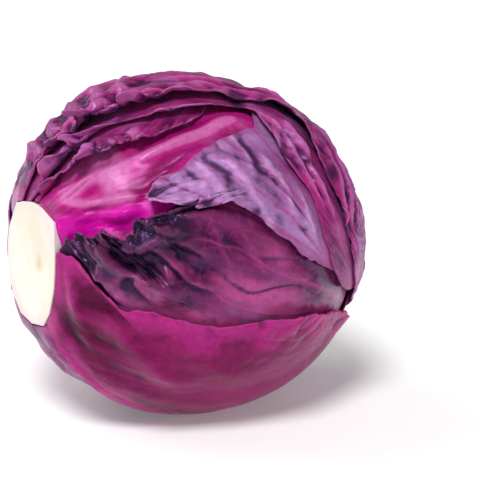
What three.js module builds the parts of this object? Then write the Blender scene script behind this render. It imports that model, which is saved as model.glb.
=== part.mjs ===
// A red cabbage head lying on its side, with the cut end of its stem towards -X.
//
// Every place on the head is given by two angles in degrees, like a latitude and a longitude:
// fromStem is measured from the stem's axis (-X), and round is measured about that axis,
// 0 at the front (-Y), 90 on top (+Z), 180 at the back and -90 underneath.
// The leaves lie over a tight inner head like the layers of a shell. Each one is a thin blade
// that lies on everything listed before it.

import * as THREE from 'three';

// Driving dimensions, in millimetres
const innerHalfLength = 74.5;
const innerHalfWidth = 69.0;
const innerDroop = 1.0;
const shoulderDrop = 1.6;
const restPlaneDepth = 69.0;
const tableDepth = 70.85;
const restSpotReach = 9;
const bladeThickness = 1.0;
const bladeGap = 0.9;
const settleLength = 15;
const liftLength = 10;
const ruffleWavelength = 24;
const ruffleDepth = 11;
const surfaceRadius = 75;
const facetClearance = 8;
const marginCrowding = 1.3;

const stemFaceDistance = 72.0;
const stemFaceTilt = 0.1;
const stemCentreY = -7;
const stemCentreZ = 1;
const coreTaper = 0.16;
const socketGap = 0.4;
const leafBaseGap = 1.2;
const leafBaseLength = 16;

const radians = Math.PI / 180;

// The stem's cut face, as knife cuts left it: corners about its centre, [angle, radius],
// the angle measured like round
const stemFaceCorners = [
  [2, 23.5], [24, 26.6], [43, 33.5], [65, 29], [86, 26.8], [106, 26], [121, 26.8], [136, 24.8],
  [154, 24.6], [171, 24.6], [192, 25.4], [210, 27.2], [225, 27.7], [244, 28.6], [268, 27.4],
  [293, 27.6], [313, 25.2], [340, 23.2],
];

function direction(fromStem, round) {
  const a = fromStem * radians;
  const b = round * radians;
  return new THREE.Vector3(-Math.cos(a), -Math.sin(a) * Math.cos(b), Math.sin(a) * Math.sin(b));
}

function smoothStep(x) {
  const t = Math.min(Math.max(x, 0), 1);
  return t * t * (3 - 2 * t);
}

// Radius of the inner head along a unit direction, flat underneath where the head rests
function innerRadius(d) {
  const across = (d.y * d.y + d.z * d.z) / (innerHalfWidth * innerHalfWidth);
  const along = (d.x * d.x) / (innerHalfLength * innerHalfLength);
  const shoulder = shoulderDrop * smoothStep((-d.x - 0.7) / 0.3);
  const round = 1 / Math.sqrt(along + across) - innerDroop * d.z - shoulder;
  return d.z < 0 ? Math.min(round, restPlaneDepth / -d.z) : round;
}

// Points round the stem's face, each edge cut into equal steps
function stemFaceRing(steps) {
  const corners = stemFaceCorners.map(([angle, radius]) => {
    const y = stemCentreY - radius * Math.cos(angle * radians);
    const z = stemCentreZ + radius * Math.sin(angle * radians);
    return new THREE.Vector3(-stemFaceDistance - stemFaceTilt * (y - stemCentreY), y, z);
  });
  const ring = [];
  corners.forEach((corner, i) => {
    const next = corners[(i + 1) % corners.length];
    for (let k = 0; k < steps; k += 1) ring.push(corner.clone().lerp(next, k / steps));
  });
  return ring;
}

const stemFaceEdges = stemFaceRing(1).map((corner, i, all) => {
  const next = all[(i + 1) % all.length];
  return new THREE.Vector3().crossVectors(next, corner).normalize();
});

// How far a direction lies outside the tapering stem, in millimetres at the surface
function stemClearance(d) {
  if (d.x > -0.5) return surfaceRadius;
  return surfaceRadius * Math.max(...stemFaceEdges.map((normal) => normal.dot(d)));
}

// A fold's line over the head, as points at the surface
function foldLine(places) {
  const ends = places.map(([fromStem, round]) => direction(fromStem, round));
  const points = [];
  for (let i = 0; i + 1 < ends.length; i += 1) {
    const steps = Math.ceil(ends[i].angleTo(ends[i + 1]) / (8 * radians));
    for (let k = 0; k < steps; k += 1) {
      points.push(ends[i].clone().lerp(ends[i + 1], k / steps).setLength(surfaceRadius));
    }
  }
  points.push(ends[ends.length - 1].clone().setLength(surfaceRadius));
  return points;
}

function distanceToLine(p, line) {
  const nearest = new THREE.Vector3();
  let best = Infinity;
  for (let i = 0; i + 1 < line.length; i += 1) {
    new THREE.Line3(line[i], line[i + 1]).closestPointToPoint(p, true, nearest);
    best = Math.min(best, nearest.distanceTo(p));
  }
  return best;
}

// A leaf blade, mapped round its own middle. The outline is a list of
// [fromStem, round, ruffle, lift] places: how strongly the edge waves there, and how far it
// stands off what lies beneath, both in millimetres.
class Leaf {
  constructor({ name, colour, middle, outline, folds = [], rings = 8, sectors = 60, firstReach }) {
    Object.assign(this, { name, colour, rings, sectors, firstReach });
    this.middle = direction(...middle);
    const stemwards = new THREE.Vector3(-1, 0, 0);
    this.ahead = stemwards.addScaledVector(this.middle, -stemwards.dot(this.middle)).normalize();
    this.aside = new THREE.Vector3().crossVectors(this.ahead, this.middle);
    this.folds = folds.map(({ height, width, places }) => ({ height, width, line: foldLine(places) }));
    this.margin = this.marginTable(outline);
  }

  // Bearing and reach of a direction, in degrees about the leaf's middle
  place(d) {
    const bearing = Math.atan2(d.dot(this.aside), d.dot(this.ahead)) / radians;
    return [(bearing + 360) % 360, this.middle.angleTo(d) / radians];
  }

  at(bearing, reach) {
    const b = bearing * radians;
    const r = reach * radians;
    const turned = this.ahead.clone().multiplyScalar(Math.cos(b) * Math.sin(r));
    turned.addScaledVector(this.aside, Math.sin(b) * Math.sin(r));
    return turned.addScaledVector(this.middle, Math.cos(r));
  }

  // The margin at every degree of bearing: reach, ruffle, lift, and the length run so far
  marginTable(outline) {
    const marks = outline.map(([fromStem, round, ruffle = 0, lift = 0]) => {
      const [bearing, reach] = this.place(direction(fromStem, round));
      return { bearing, reach, ruffle, lift };
    });
    marks.sort((a, b) => a.bearing - b.bearing);
    const mark = (i) => {
      const turns = Math.floor(i / marks.length);
      const found = marks[i - turns * marks.length];
      return { ...found, bearing: found.bearing + 360 * turns };
    };
    const slope = (i) => {
      const before = mark(i - 1);
      const after = mark(i + 1);
      return (after.reach - before.reach) / Math.max(after.bearing - before.bearing, 1);
    };
    const table = [];
    let run = 0;
    let previous = null;
    let i = -1;
    for (let bearing = 0; bearing <= 360; bearing += 1) {
      while (mark(i + 1).bearing <= bearing) i += 1;
      const from = mark(i);
      const to = mark(i + 1);
      const span = Math.max(to.bearing - from.bearing, 0.001);
      const t = (bearing - from.bearing) / span;
      const ease = smoothStep(t);
      const swing = span * (t * (1 - t) * (1 - t) * slope(i) - t * t * (1 - t) * slope(i + 1));
      let reach = from.reach + (to.reach - from.reach) * ease + swing;
      while (stemClearance(this.at(bearing, reach)) < leafBaseGap) reach -= 0.25;
      const tip = this.at(bearing, reach);
      if (previous) run += tip.angleTo(previous) * surfaceRadius;
      previous = tip;
      const ruffle = from.ruffle + (to.ruffle - from.ruffle) * t;
      const lift = from.lift + (to.lift - from.lift) * t;
      table.push({ reach, ruffle, lift, run });
    }
    return table;
  }

  marginAt(bearing) {
    const i = Math.min(Math.floor(bearing), 359);
    const t = bearing - i;
    const from = this.margin[i];
    const to = this.margin[i + 1];
    const mix = (key) => from[key] + (to[key] - from[key]) * t;
    return { reach: mix('reach'), ruffle: mix('ruffle'), lift: mix('lift'), run: mix('run') };
  }

  // What the leaf does at a direction: how far inside its margin, and how much of it counts there
  find(d) {
    const [bearing, reach] = this.place(d);
    const margin = this.marginAt(bearing);
    const inside = (margin.reach - reach) * radians * surfaceRadius;
    return { ...margin, inside, presence: smoothStep(1 + inside / settleLength) };
  }

  // How far the blade stands off the layers beneath it, where it is not pressed down. Leaves are
  // pressed together where they join the stem.
  rise(d, found) {
    const depth = Math.max(found.inside, 0);
    const wholeRun = this.margin[360].run;
    const waves = Math.round(wholeRun / ruffleWavelength);
    const phase = (found.run / wholeRun) * waves * 2 * Math.PI;
    const drift = 0.8 * Math.sin((phase * 5) / waves);
    const wave = 0.5 + 0.5 * Math.sin(phase + drift);
    let height = found.lift * Math.exp(-depth / liftLength);
    height += found.ruffle * wave * Math.exp(-depth / ruffleDepth);
    const p = d.clone().multiplyScalar(surfaceRadius);
    this.folds.forEach(({ height: crest, width, line }) => {
      const away = distanceToLine(p, line) / width;
      height += crest * Math.exp(-away * away);
    });
    return height * smoothStep(stemClearance(d) / leafBaseLength);
  }
}

// The leaves from the innermost to the outermost, each lying on those before it
const leaves = [
  new Leaf({
    name: 'leaf_top_inner',
    colour: '#8d2a68',
    middle: [56, 92],
    outline: [
      [10, 66], [24.5, 69, 1, 1], [29.7, 70, 2, 3], [33.6, 70, 2, 4], [38.8, 65, 2, 4],
      [44.6, 62.4, 2, 4], [49.7, 60.9, 2, 3.5], [56.4, 60.6, 3, 2.5], [62.6, 59.8, 2, 1.5],
      [67.9, 60.8, 0.5, 0.6], [72.8, 62.5], [82, 68], [88, 78], [89, 92], [82, 106], [70, 116],
      [55, 122], [38, 126], [8, 126], [8, 100],
    ],
    sectors: 60,
  }),
  new Leaf({
    name: 'leaf_front_ruffled',
    colour: '#4a2c50',
    middle: [80, -14],
    outline: [
      [12, 0], [22, 17], [27.4, 22, 3, 1.5], [31, 23.5, 4, 2.5], [35, 24.5, 4, 3],
      [39, 29.5, 5, 3], [41.8, 24.5, 5, 2.5], [44, 27, 5, 3], [46.3, 24, 5, 2.5], [48.3, 16, 4, 1],
      [50.5, 17.5, 4, 1.5], [54, 21, 5, 2.5], [59, 27, 5, 3], [63, 26.3, 5, 2.5], [67, 27.2, 4, 2],
      [73, 28.5, 1.5, 1], [85, 36], [100, 35], [115, 28], [130, 12], [144, -8], [146, -28],
      [130, -44], [104, -54], [80, -60], [55, -60], [32, -56], [10, -42], [8, -15],
    ],
    folds: [
      { height: 3.2, width: 6, places: [[42, 24], [44, 14], [47, 5], [54, -2], [62, -8]] },
      { height: 2.6, width: 6, places: [[50, 16], [60, 8], [68, 0], [74, -6]] },
    ],
    sectors: 100,
  }),
  new Leaf({
    name: 'leaf_right_side',
    colour: '#74477c',
    middle: [112, 36],
    outline: [
      [61.5, 35.6, 3, 2], [62.6, 32.4, 3, 2.5], [65.5, 30.2, 3, 2.5], [69.5, 28.4, 2, 2.5],
      [74, 28, 1, 2], [80, 29.4, 0.5, 1.5], [85.8, 27.5, 0.5, 2], [92.8, 23.1, 0.5, 3.5],
      [97.4, 18.6, 0.5, 4.5], [104.2, 13.2, 0, 5], [110, 7.6, 0, 4], [119, 2.5, 0, 2.5],
      [131, -5, 1, 1], [145, -14], [158, -6], [162, 30], [152, 56], [138, 76], [122, 82],
      [111, 74], [105, 58], [94.1, 53], [86.6, 50], [79, 46.6], [72.2, 41.5, 0, 0.5],
      [68, 40.4, 0.5, 1], [64.4, 37.7, 2, 1.5],
    ],
    sectors: 68,
  }),
  new Leaf({
    name: 'leaf_top_middle',
    colour: '#7a2b63',
    middle: [118, 84],
    outline: [
      [9, 74], [24, 72, 1, 1], [31.7, 78, 3.5, 3], [39.7, 77.6, 3.5, 3], [47.8, 76.6, 3, 2.5],
      [55.3, 75.7, 3, 2], [59.8, 75, 2.5, 1.5], [64.6, 71.6, 2, 1.5], [70.4, 68.8, 1.5, 1.5],
      [79.3, 66, 0.5, 1.5], [87, 65.5, 0.5, 1.5], [94, 67, 1, 1.5], [100, 67.5, 1, 1.5],
      [104, 66, 0.5, 1.5], [106.8, 61, 0, 2], [108.3, 52.5, 0, 3.5], [109.5, 47.1, 0.5, 4],
      [111.2, 41.3, 0.5, 3.5], [113.9, 36.2, 0, 2.5], [117, 30, 0, 1.2], [119.5, 20, 0, 0.8],
      [122, 9, 0, 0.5], [126, -2, 0, 0.5], [134, -14], [146, -18], [156, 10], [154, 70],
      [138, 105], [115, 120], [90, 125], [65, 130], [40, 135], [8, 138], [8, 105],
    ],
    folds: [
      { height: 2.2, width: 6.5, places: [[118, 64], [119, 54], [122, 40], [128, 24], [132, 8]] },
    ],
    rings: 10,
    sectors: 84,
  }),
  new Leaf({
    name: 'leaf_under',
    colour: '#33203a',
    middle: [90, -90],
    outline: [
      [9, -48], [24, -43, 1, 1], [34, -43], [50, -49], [70, -53], [90, -54], [110, -52],
      [130, -44], [150, -30], [167, -50], [165, -118], [146, -144], [122, -150], [100, -150],
      [80, -152], [60, -156], [38, -164], [8, -165], [8, -110],
    ],
    folds: [
      { height: 2.0, width: 6.5, places: [[26, -92], [36, -84], [48, -74]] },
      { height: 1.6, width: 6.5, places: [[28, -70], [38, -64], [46, -60]] },
      { height: 2.0, width: 7, places: [[26, -122], [40, -116], [56, -108]] },
    ],
    firstReach: restSpotReach,
    sectors: 60,
  }),
  new Leaf({
    name: 'leaf_top_outer',
    colour: '#6d2c63',
    middle: [122, 118],
    outline: [
      [9, 98], [24, 94, 1, 1], [34, 92, 4, 2.5], [41.8, 88, 5, 2.5], [51.3, 90, 5, 3],
      [55.9, 88, 5, 2.5], [63.7, 80, 4, 2], [70, 78.5, 3, 1.5], [75, 80, 3, 2], [81, 78.8, 2.5, 2],
      [89.6, 75, 2, 2], [97.7, 73, 1.5, 2], [104, 71.5, 1.5, 2], [110, 70, 1.5, 2],
      [117, 69.5, 1.5, 2.5], [122.5, 67, 1, 3], [125.6, 61, 0, 3], [125.3, 53, 0, 3],
      [126.5, 44.4, 0, 2], [129, 34, 0, 1], [131, 22, 0, 0.6], [134, 8, 0, 0.5],
      [138, -8, 0.5, 0.5], [143, -24, 1, 1], [148, -44, 1.5, 1], [151, -80, 1.5, 1.5],
      [148, -124, 1.5, 1.5], [134, -152, 0.5, 1], [112, -166], [86, -172], [60, -176],
      [38, 178], [8, 172], [8, 130],
    ],
    folds: [
      { height: 2.4, width: 6.5, places: [[128, 76], [132, 66], [136, 52], [139, 36], [142, 18]] },
      { height: 2.0, width: 6.5, places: [[118, 84], [130, 88], [142, 84], [152, 66]] },
      { height: 2.6, width: 6.5, places: [[30, 108], [38, 110], [48, 104]] },
      { height: 2.6, width: 6.5, places: [[50, 100], [57, 110], [62, 124]] },
      { height: 1.8, width: 6.5, places: [[70, 92], [84, 96], [98, 94]] },
    ],
    rings: 10,
    sectors: 96,
  }),
  new Leaf({
    name: 'leaf_back',
    colour: '#5a2752',
    middle: [88, -174],
    outline: [
      [8, 148], [24, 146, 1, 1], [38, 141, 3, 2], [56, 137, 3, 2], [76, 133, 2, 2],
      [96, 133, 2, 2], [116, 138, 2.5, 2], [132, 150, 3, 2], [142, 172, 2.5, 2],
      [140, -164, 2, 1.5], [130, -144, 2, 1.5], [112, -134, 2, 1.5], [90, -131, 2, 1.5],
      [66, -133, 2, 1.5], [44, -138, 2, 1], [26, -144, 0, 1], [8, -150],
    ],
    folds: [
      { height: 1.8, width: 7, places: [[24, -176], [60, -172], [100, -170], [134, -166]] },
      { height: 1.4, width: 6, places: [[60, -172], [74, 166], [92, 150]] },
      { height: 1.4, width: 6, places: [[56, -172], [72, -156], [90, -142]] },
    ],
    sectors: 72,
  }),
  new Leaf({
    name: 'leaf_lower_front',
    colour: '#7b2158',
    middle: [88, -42],
    outline: [
      [10, 6], [25.9, 19.5, 0, 1], [30.4, 15.5, 0.5, 1.5], [34.9, 9.8, 0.5, 1.5],
      [38.2, 4.2, 0.5, 1.5], [40.8, -1.5, 0.5, 1.5], [43.5, -7, 0.5, 1.5], [48, -9, 0.5, 1.5],
      [54, -8.5, 0.5, 1.5], [62, -9.5, 0.5, 1.5], [74, -13, 1, 2], [88, -13, 1.5, 2.5],
      [104, -14, 2, 2.5], [120, -18, 2.5, 2], [134, -26, 2.5, 2], [143, -42, 2, 1.5],
      [144, -60, 2, 1.5], [134, -74, 1.5, 1], [118, -75, 1, 1], [100, -71, 0.5, 1],
      [80, -69, 0, 1], [66, -66.5, 0, 1], [57.7, -63.2, 0.5, 1.5], [52, -62, 0.5, 1.5],
      [45.3, -57.4, 0.5, 1.5], [39.1, -53.6, 0.5, 1.5], [32.9, -50.6, 0.5, 1.5],
      [27.7, -47, 0, 1.5], [20, -47, 0, 1], [8, -34],
    ],
    folds: [
      { height: 1.5, width: 7, places: [[28, -8], [38, -22], [52, -36], [62, -48]] },
    ],
    sectors: 68,
  }),
];

// Height of everything beneath the leaf at this place in the list, over the inner head
function layersBeneath(index, d) {
  let height = bladeGap;
  for (let i = 0; i < index; i += 1) {
    const found = leaves[i].find(d);
    if (found.presence > 0) {
      const step = bladeThickness + bladeGap + leaves[i].rise(d, found) * pressing(i, d);
      height += found.presence * step;
    }
  }
  return height;
}

// 1 where a leaf lies free, falling to 0 where later leaves press it down
function pressing(index, d) {
  let free = 1;
  for (let i = index + 1; i < leaves.length; i += 1) free *= 1 - leaves[i].find(d).presence;
  return free;
}

// The highest that the layers beneath come near this place, so that flat facets stay clear
function restingHeight(index, d) {
  const leaf = leaves[index];
  const [bearing, reach] = leaf.place(d);
  let height = layersBeneath(index, d);
  [0.5, 1].forEach((part) => {
    const step = (part * facetClearance) / surfaceRadius;
    for (let k = 0; k < 6; k += 1) {
      const further = (step * Math.cos((k * Math.PI) / 3)) / radians;
      const round = (step * Math.sin((k * Math.PI) / 3)) / radians / Math.max(Math.sin(reach * radians), 0.15);
      height = Math.max(height, layersBeneath(index, leaf.at(bearing + round, reach + further)));
    }
  });
  return height;
}

function closedGeometry(points, triangles) {
  const geometry = new THREE.BufferGeometry();
  const positions = new Float32Array(points.flatMap((p) => [p.x, p.y, p.z]));
  geometry.setAttribute('position', new THREE.BufferAttribute(positions, 3));
  geometry.setIndex(triangles.flat());
  geometry.computeVertexNormals();
  return geometry;
}

// Bearings spaced evenly along the margin, closer together where it is ruffled
function sectorBearings(leaf) {
  const weights = [0];
  for (let i = 0; i < 360; i += 1) {
    const run = leaf.margin[i + 1].run - leaf.margin[i].run;
    weights.push(weights[i] + run * (1 + 0.25 * leaf.margin[i].ruffle));
  }
  const bearings = [];
  let i = 0;
  for (let k = 0; k < leaf.sectors; k += 1) {
    const wanted = (weights[360] * k) / leaf.sectors;
    while (weights[i + 1] <= wanted) i += 1;
    bearings.push(i + (wanted - weights[i]) / (weights[i + 1] - weights[i]));
  }
  return bearings;
}

// Triangles between two neighbouring rings, where the outer one has as many points or twice as many
function bandTriangles(inner, outer) {
  const triangles = [];
  const n = inner.count;
  for (let k = 0; k < n; k += 1) {
    const a = inner.first + k;
    const b = inner.first + ((k + 1) % n);
    if (outer.count === n) {
      const c = outer.first + k;
      const d = outer.first + ((k + 1) % n);
      triangles.push([a, b, d], [a, d, c]);
    } else {
      const c = outer.first + 2 * k;
      const d = outer.first + ((2 * k + 2) % outer.count);
      triangles.push([a, c + 1, c], [a, b, c + 1], [b, d, c + 1]);
    }
  }
  return triangles;
}

function bladeGeometry(index) {
  const leaf = leaves[index];
  const upper = [];
  const lower = [];
  const addPoint = (d) => {
    const rise = leaf.rise(d, leaf.find(d)) * pressing(index, d);
    const radius = innerRadius(d) + restingHeight(index, d) + rise;
    const inside = d.clone().multiplyScalar(radius);
    const outside = d.clone().multiplyScalar(radius + bladeThickness);
    lower.push(inside.setZ(Math.max(inside.z, bladeThickness - tableDepth)));
    upper.push(outside.setZ(Math.max(outside.z, -tableDepth)));
  };
  const bearings = sectorBearings(leaf);
  const rings = [];
  addPoint(leaf.middle);
  for (let ring = 1; ring <= leaf.rings; ring += 1) {
    const part = 1 - (1 - ring / leaf.rings) ** marginCrowding;
    const skip = part < 0.25 ? 4 : (part < 0.6 ? 2 : 1);
    rings.push({ first: upper.length, count: leaf.sectors / skip });
    bearings.filter((bearing, k) => k % skip === 0).forEach((bearing) => {
      const reach = ring === 1 && leaf.firstReach ? leaf.firstReach : part * leaf.marginAt(bearing).reach;
      addPoint(leaf.at(bearing, reach));
    });
  }
  const face = [];
  for (let k = 0; k < rings[0].count; k += 1) face.push([0, 1 + ((k + 1) % rings[0].count), 1 + k]);
  for (let ring = 1; ring < rings.length; ring += 1) {
    face.push(...bandTriangles(rings[ring - 1], rings[ring]));
  }
  const half = upper.length;
  const back = face.map(([a, b, c]) => [a + half, c + half, b + half]);
  const edge = rings[rings.length - 1];
  const rim = [];
  for (let k = 0; k < edge.count; k += 1) {
    const a = edge.first + k;
    const b = edge.first + ((k + 1) % edge.count);
    rim.push([a, b, b + half], [a, b + half, a + half]);
  }
  return closedGeometry([...upper, ...lower], [...face, ...back, ...rim]);
}

// Rings of points joined into one closed body, from the first ring's middle to the last one's
function ringedGeometry(start, rings, end) {
  const n = rings[0].length;
  const points = [start, ...rings.flat(), end];
  const last = points.length - 1;
  const triangles = [];
  for (let k = 0; k < n; k += 1) {
    const next = (k + 1) % n;
    triangles.push([0, 1 + k, 1 + next]);
    for (let ring = 0; ring + 1 < rings.length; ring += 1) {
      const a = 1 + ring * n;
      const b = a + n;
      triangles.push([a + k, b + next, a + next], [a + k, b + k, b + next]);
    }
    const a = 1 + (rings.length - 1) * n;
    triangles.push([a + k, last, a + next]);
  }
  return closedGeometry(points, triangles);
}

function middleOf(ring) {
  const sum = ring.reduce((total, p) => total.add(p), new THREE.Vector3());
  return sum.divideScalar(ring.length);
}

function widened(ring, gap) {
  const middle = middleOf(ring);
  return ring.map((p) => {
    const away = p.clone().sub(middle);
    return p.clone().addScaledVector(away.normalize(), gap);
  });
}

function stemGeometry() {
  const face = stemFaceRing(1);
  const foot = face.map((p) => p.clone().multiplyScalar(coreTaper));
  return ringedGeometry(middleOf(face), [face, foot], middleOf(foot));
}

function innerHeadGeometry() {
  const rings = [];
  const mouth = widened(stemFaceRing(3), socketGap);
  const floor = widened(stemFaceRing(3).map((p) => p.multiplyScalar(coreTaper)), socketGap);
  floor.forEach((p) => p.setX(p.x + socketGap));
  rings.push(floor);
  const ringCount = 17;
  for (let ring = 0; ring < ringCount; ring += 1) {
    const t = (ring / ringCount) ** 1.1;
    rings.push(mouth.map((p) => {
      const start = p.clone().normalize();
      const fromStem = Math.acos(-start.x);
      const round = Math.atan2(start.z, -start.y);
      const d = direction((fromStem + (Math.PI - fromStem) * t) / radians, round / radians);
      return d.multiplyScalar(innerRadius(d));
    }));
  }
  const end = direction(180, 0).multiplyScalar(innerHalfLength);
  return ringedGeometry(middleOf(floor), rings, end);
}

function piece(name, geometry, colour, roughness) {
  const material = new THREE.MeshStandardMaterial({ color: colour, roughness, metalness: 0 });
  const mesh = new THREE.Mesh(geometry, material);
  mesh.name = name;
  return mesh;
}

const cabbage = new THREE.Group();
cabbage.add(piece('stem', stemGeometry(), '#f3ecdf', 0.6));
cabbage.add(piece('inner_head', innerHeadGeometry(), '#b01f86', 0.4));
leaves.forEach((leaf, index) => {
  cabbage.add(piece(leaf.name, bladeGeometry(index), leaf.colour, 0.4));
});

// The head stands on z = 0, with the origin under the middle of its box
const box = new THREE.Box3().setFromObject(cabbage);
const middle = box.getCenter(new THREE.Vector3());
cabbage.children.forEach((mesh) => mesh.geometry.translate(-middle.x, -middle.y, -box.min.z));

export default cabbage;
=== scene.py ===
import math
import bpy
import numpy as np
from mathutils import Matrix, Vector


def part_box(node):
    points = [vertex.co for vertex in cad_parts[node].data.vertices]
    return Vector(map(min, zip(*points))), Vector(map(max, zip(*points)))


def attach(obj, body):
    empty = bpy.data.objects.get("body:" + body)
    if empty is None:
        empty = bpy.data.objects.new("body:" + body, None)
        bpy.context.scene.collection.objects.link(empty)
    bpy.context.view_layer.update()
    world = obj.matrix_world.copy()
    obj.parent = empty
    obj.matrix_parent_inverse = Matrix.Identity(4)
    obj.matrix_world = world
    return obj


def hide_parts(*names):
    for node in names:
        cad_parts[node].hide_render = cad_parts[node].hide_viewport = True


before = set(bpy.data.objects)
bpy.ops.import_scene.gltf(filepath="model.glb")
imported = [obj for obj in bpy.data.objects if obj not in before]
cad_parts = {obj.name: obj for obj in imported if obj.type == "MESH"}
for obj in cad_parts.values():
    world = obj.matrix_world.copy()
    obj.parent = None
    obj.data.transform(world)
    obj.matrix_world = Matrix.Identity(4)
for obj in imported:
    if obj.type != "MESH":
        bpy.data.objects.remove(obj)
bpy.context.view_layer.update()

bpy.ops.object.select_all(action='DESELECT')
print("frame loaded:", ", ".join(sorted(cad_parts)))

# A red cabbage head on its side. Places on it are two angles in degrees: fromStem is measured
# from the stem's axis (-X), round about that axis: 0 front, 90 top, 180 back, -90 underneath.
# Lengths are millimetres until a mesh is written.
head = {
    "innerHalfLength": 74.5,
    "innerHalfWidth": 69.0,
    "droop": 1.0,
    "shoulderDrop": 1.6,     # how much narrower the ball gets towards the stem
    "shoulderStart": 0.7,
    "shoulderRun": 0.3,
    "restPlaneDepth": 69.0,
    "tableDepth": 70.85,     # from the middle down to what the head rests on
    "surfaceRadius": 75.0,
    "layerStep": 1.9,        # from one leaf's outside to the next one's
    "bladeThickness": 0.75,
    "settleLength": 15.0,    # how far past an edge the leaf above takes to come down
    "liftLength": 10.0,
    "leafBaseLength": 16.0,
    "leafBaseGap": 0.5,
    "flareLength": 16.0,
    "flareDrop": 0.4,
    "stemEnd": 0.5,          # how far along the axis the stem's outline counts
    "underStart": 0.15,      # from here down the leaf bases stand proud of the cut
    "underSlope": 5,
    "deepestSink": 0.4,      # how much of a layer's height a hollow may take
    "mergeDistance": 0.000004,
}
stem = {
    "faceDistance": 72.0,
    "faceTilt": 0.1,
    "centreY": -7.0,
    "centreZ": 1.0,
    "coreTaper": 0.16,
    "dish": 0.9,             # how hollow the cut face has dried
    "cornerRounding": 0.5,
    "sharpAngle": 50,
    "edgeSteps": 6,
    "faceRings": (0.96, 0.93, 0.9, 0.87, 0.83, 0.78, 0.72, 0.66, 0.5),
    "faceDepth": 1.2,
    "dishRadius": 26,
    "corners": [
        (2, 23.5), (24, 26.6), (43, 33.5), (65, 29), (86, 26.8), (106, 26), (121, 26.8), (136, 24.8),
        (154, 24.6), (171, 24.6), (192, 25.4), (210, 27.2), (225, 27.7), (244, 28.6), (268, 27.4),
        (293, 27.6), (313, 25.2), (340, 23.2),
    ],
}
creases = {
    "lineStep": 5,
    "wander": ((9, 2.6), (4, 0.8)),     # lump size of a fold line's straying, and how far
    "fadeIn": 4,                        # a fold's two ends fade over a quarter and a third of it
    "fadeOut": 3,
    "cliffFoot": 2.2,
    "ridgePower": 1.6,
    "wrinkleSizes": (13, 7),
    "crumpleSizes": (8, 4),
    "crumpleLength": 24,
    "shadeScales": ((3, 2, 0.8), (10, 4, 2.4)),     # columns, rows, and the height that counts in full
    "shadePasses": 3,
    "shadeGain": 1.4,
}
fingers = {
    "coarseLength": 1.4,     # of a leaf's own finger length
    "fineWidth": 0.42,       # of its finger width
    "fineLength": 7.0,
    "foot": 0.3,             # noise below this makes no finger
    "slope": 2.2,
    "fineLift": 0.3,
}
fanShape = {
    "wander": ((28, 1.4), (12, 0.4)),    # lump size of the folds' straying, and how far
    "fineScale": (2.3, 1.7, 1),          # how much closer the narrow folds stand
    "fadeIn": 18,
    "patch": 32,                         # size of the areas where the folds are weak or strong
    "weakest": 0.45,
}
rim = {
    "swellReach": 0.9,       # how far the coarse and the fine fingers push the edge in and out
    "fineReach": 0.5,
    "teeth": 96,
    "toothReach": 1.4,
    "fullHemAt": 3,
    "stemRange": 10,
    "coarseLean": (1.3, 9),  # how far sideways, and how deep into the leaf
    "fineLean": (0.5, 4),
    "tightestCurl": 1.7,
    "looserCurl": 3.0,
    "closerWhereRuffled": 0.25,
    "lookAside": 0.2,        # degrees to the place that gives a direction over the surface
    "fullRuffle": (0.5, 2.5),    # where a ruffle begins to count, and how much more counts in full
}
noiseCells = 32                 # lumps before the noise repeats
wholeTurn = np.arange(361.0)    # degrees of bearing
wideCorner = stem["corners"][2]
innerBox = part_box("inner_head")
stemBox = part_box("stem")
headCentre = Vector((
    innerBox[1][0] - head["innerHalfLength"] / 1000,
    stemBox[0][1] - (stem["centreY"] - wideCorner[1] * math.cos(math.radians(wideCorner[0]))) / 1000,
    innerBox[0][2] + head["restPlaneDepth"] / 1000,
))
print("head centre:", [round(v, 4) for v in headCentre])


def directionOf(fromStem, around):
    a = np.radians(fromStem)
    b = np.radians(around)
    return np.stack([-np.cos(a), -np.sin(a) * np.cos(b), np.sin(a) * np.sin(b)], axis=-1)


def smoothStep(x):
    t = np.clip(x, 0, 1)
    return t * t * (3 - 2 * t)


def lengthOf(v):
    return np.sqrt((v * v).sum(axis=-1))


def softNoise(points, size, seed, around=noiseCells):
    # smooth noise from 0 to 1 with lumps of the given size; along x it repeats after so many lumps
    table = np.random.RandomState(seed).rand(max(noiseCells, around), noiseCells, noiseCells)
    p = points / size
    cell = np.floor(p).astype(int)
    t = smoothStep(p - cell)
    total = 0
    for i in (0, 1):
        for j in (0, 1):
            for k in (0, 1):
                weight = t[..., 0] if i else 1 - t[..., 0]
                weight = weight * (t[..., 1] if j else 1 - t[..., 1])
                weight = weight * (t[..., 2] if k else 1 - t[..., 2])
                y, z = (cell[..., 1] + j) % noiseCells, (cell[..., 2] + k) % noiseCells
                total = total + weight * table[(cell[..., 0] + i) % around, y, z]
    return total


def stripNoise(along, inward, seed, around=noiseCells):
    # noise on a strip, where along counts the lumps along it and inward those across
    return softNoise(np.stack([along, inward, np.zeros_like(along)], axis=-1), 1.0, seed, around)


def pillow(noise, steepness=3.6, roundness=0.75):
    # rounded swells with sharp creases between them, from noise
    return np.minimum(np.abs(noise - 0.5) * steepness, 1) ** roundness


def innerRadius(d):
    across = (d[..., 1] ** 2 + d[..., 2] ** 2) / head["innerHalfWidth"] ** 2
    along = d[..., 0] ** 2 / head["innerHalfLength"] ** 2
    towardsStem = (-d[..., 0] - head["shoulderStart"]) / head["shoulderRun"]
    shoulder = head["shoulderDrop"] * smoothStep(towardsStem)
    ball = 1 / np.sqrt(along + across) - head["droop"] * d[..., 2] - shoulder
    flat = head["restPlaneDepth"] / np.maximum(-d[..., 2], 0.01)
    return np.where(d[..., 2] < 0, np.minimum(ball, flat), ball)


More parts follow.
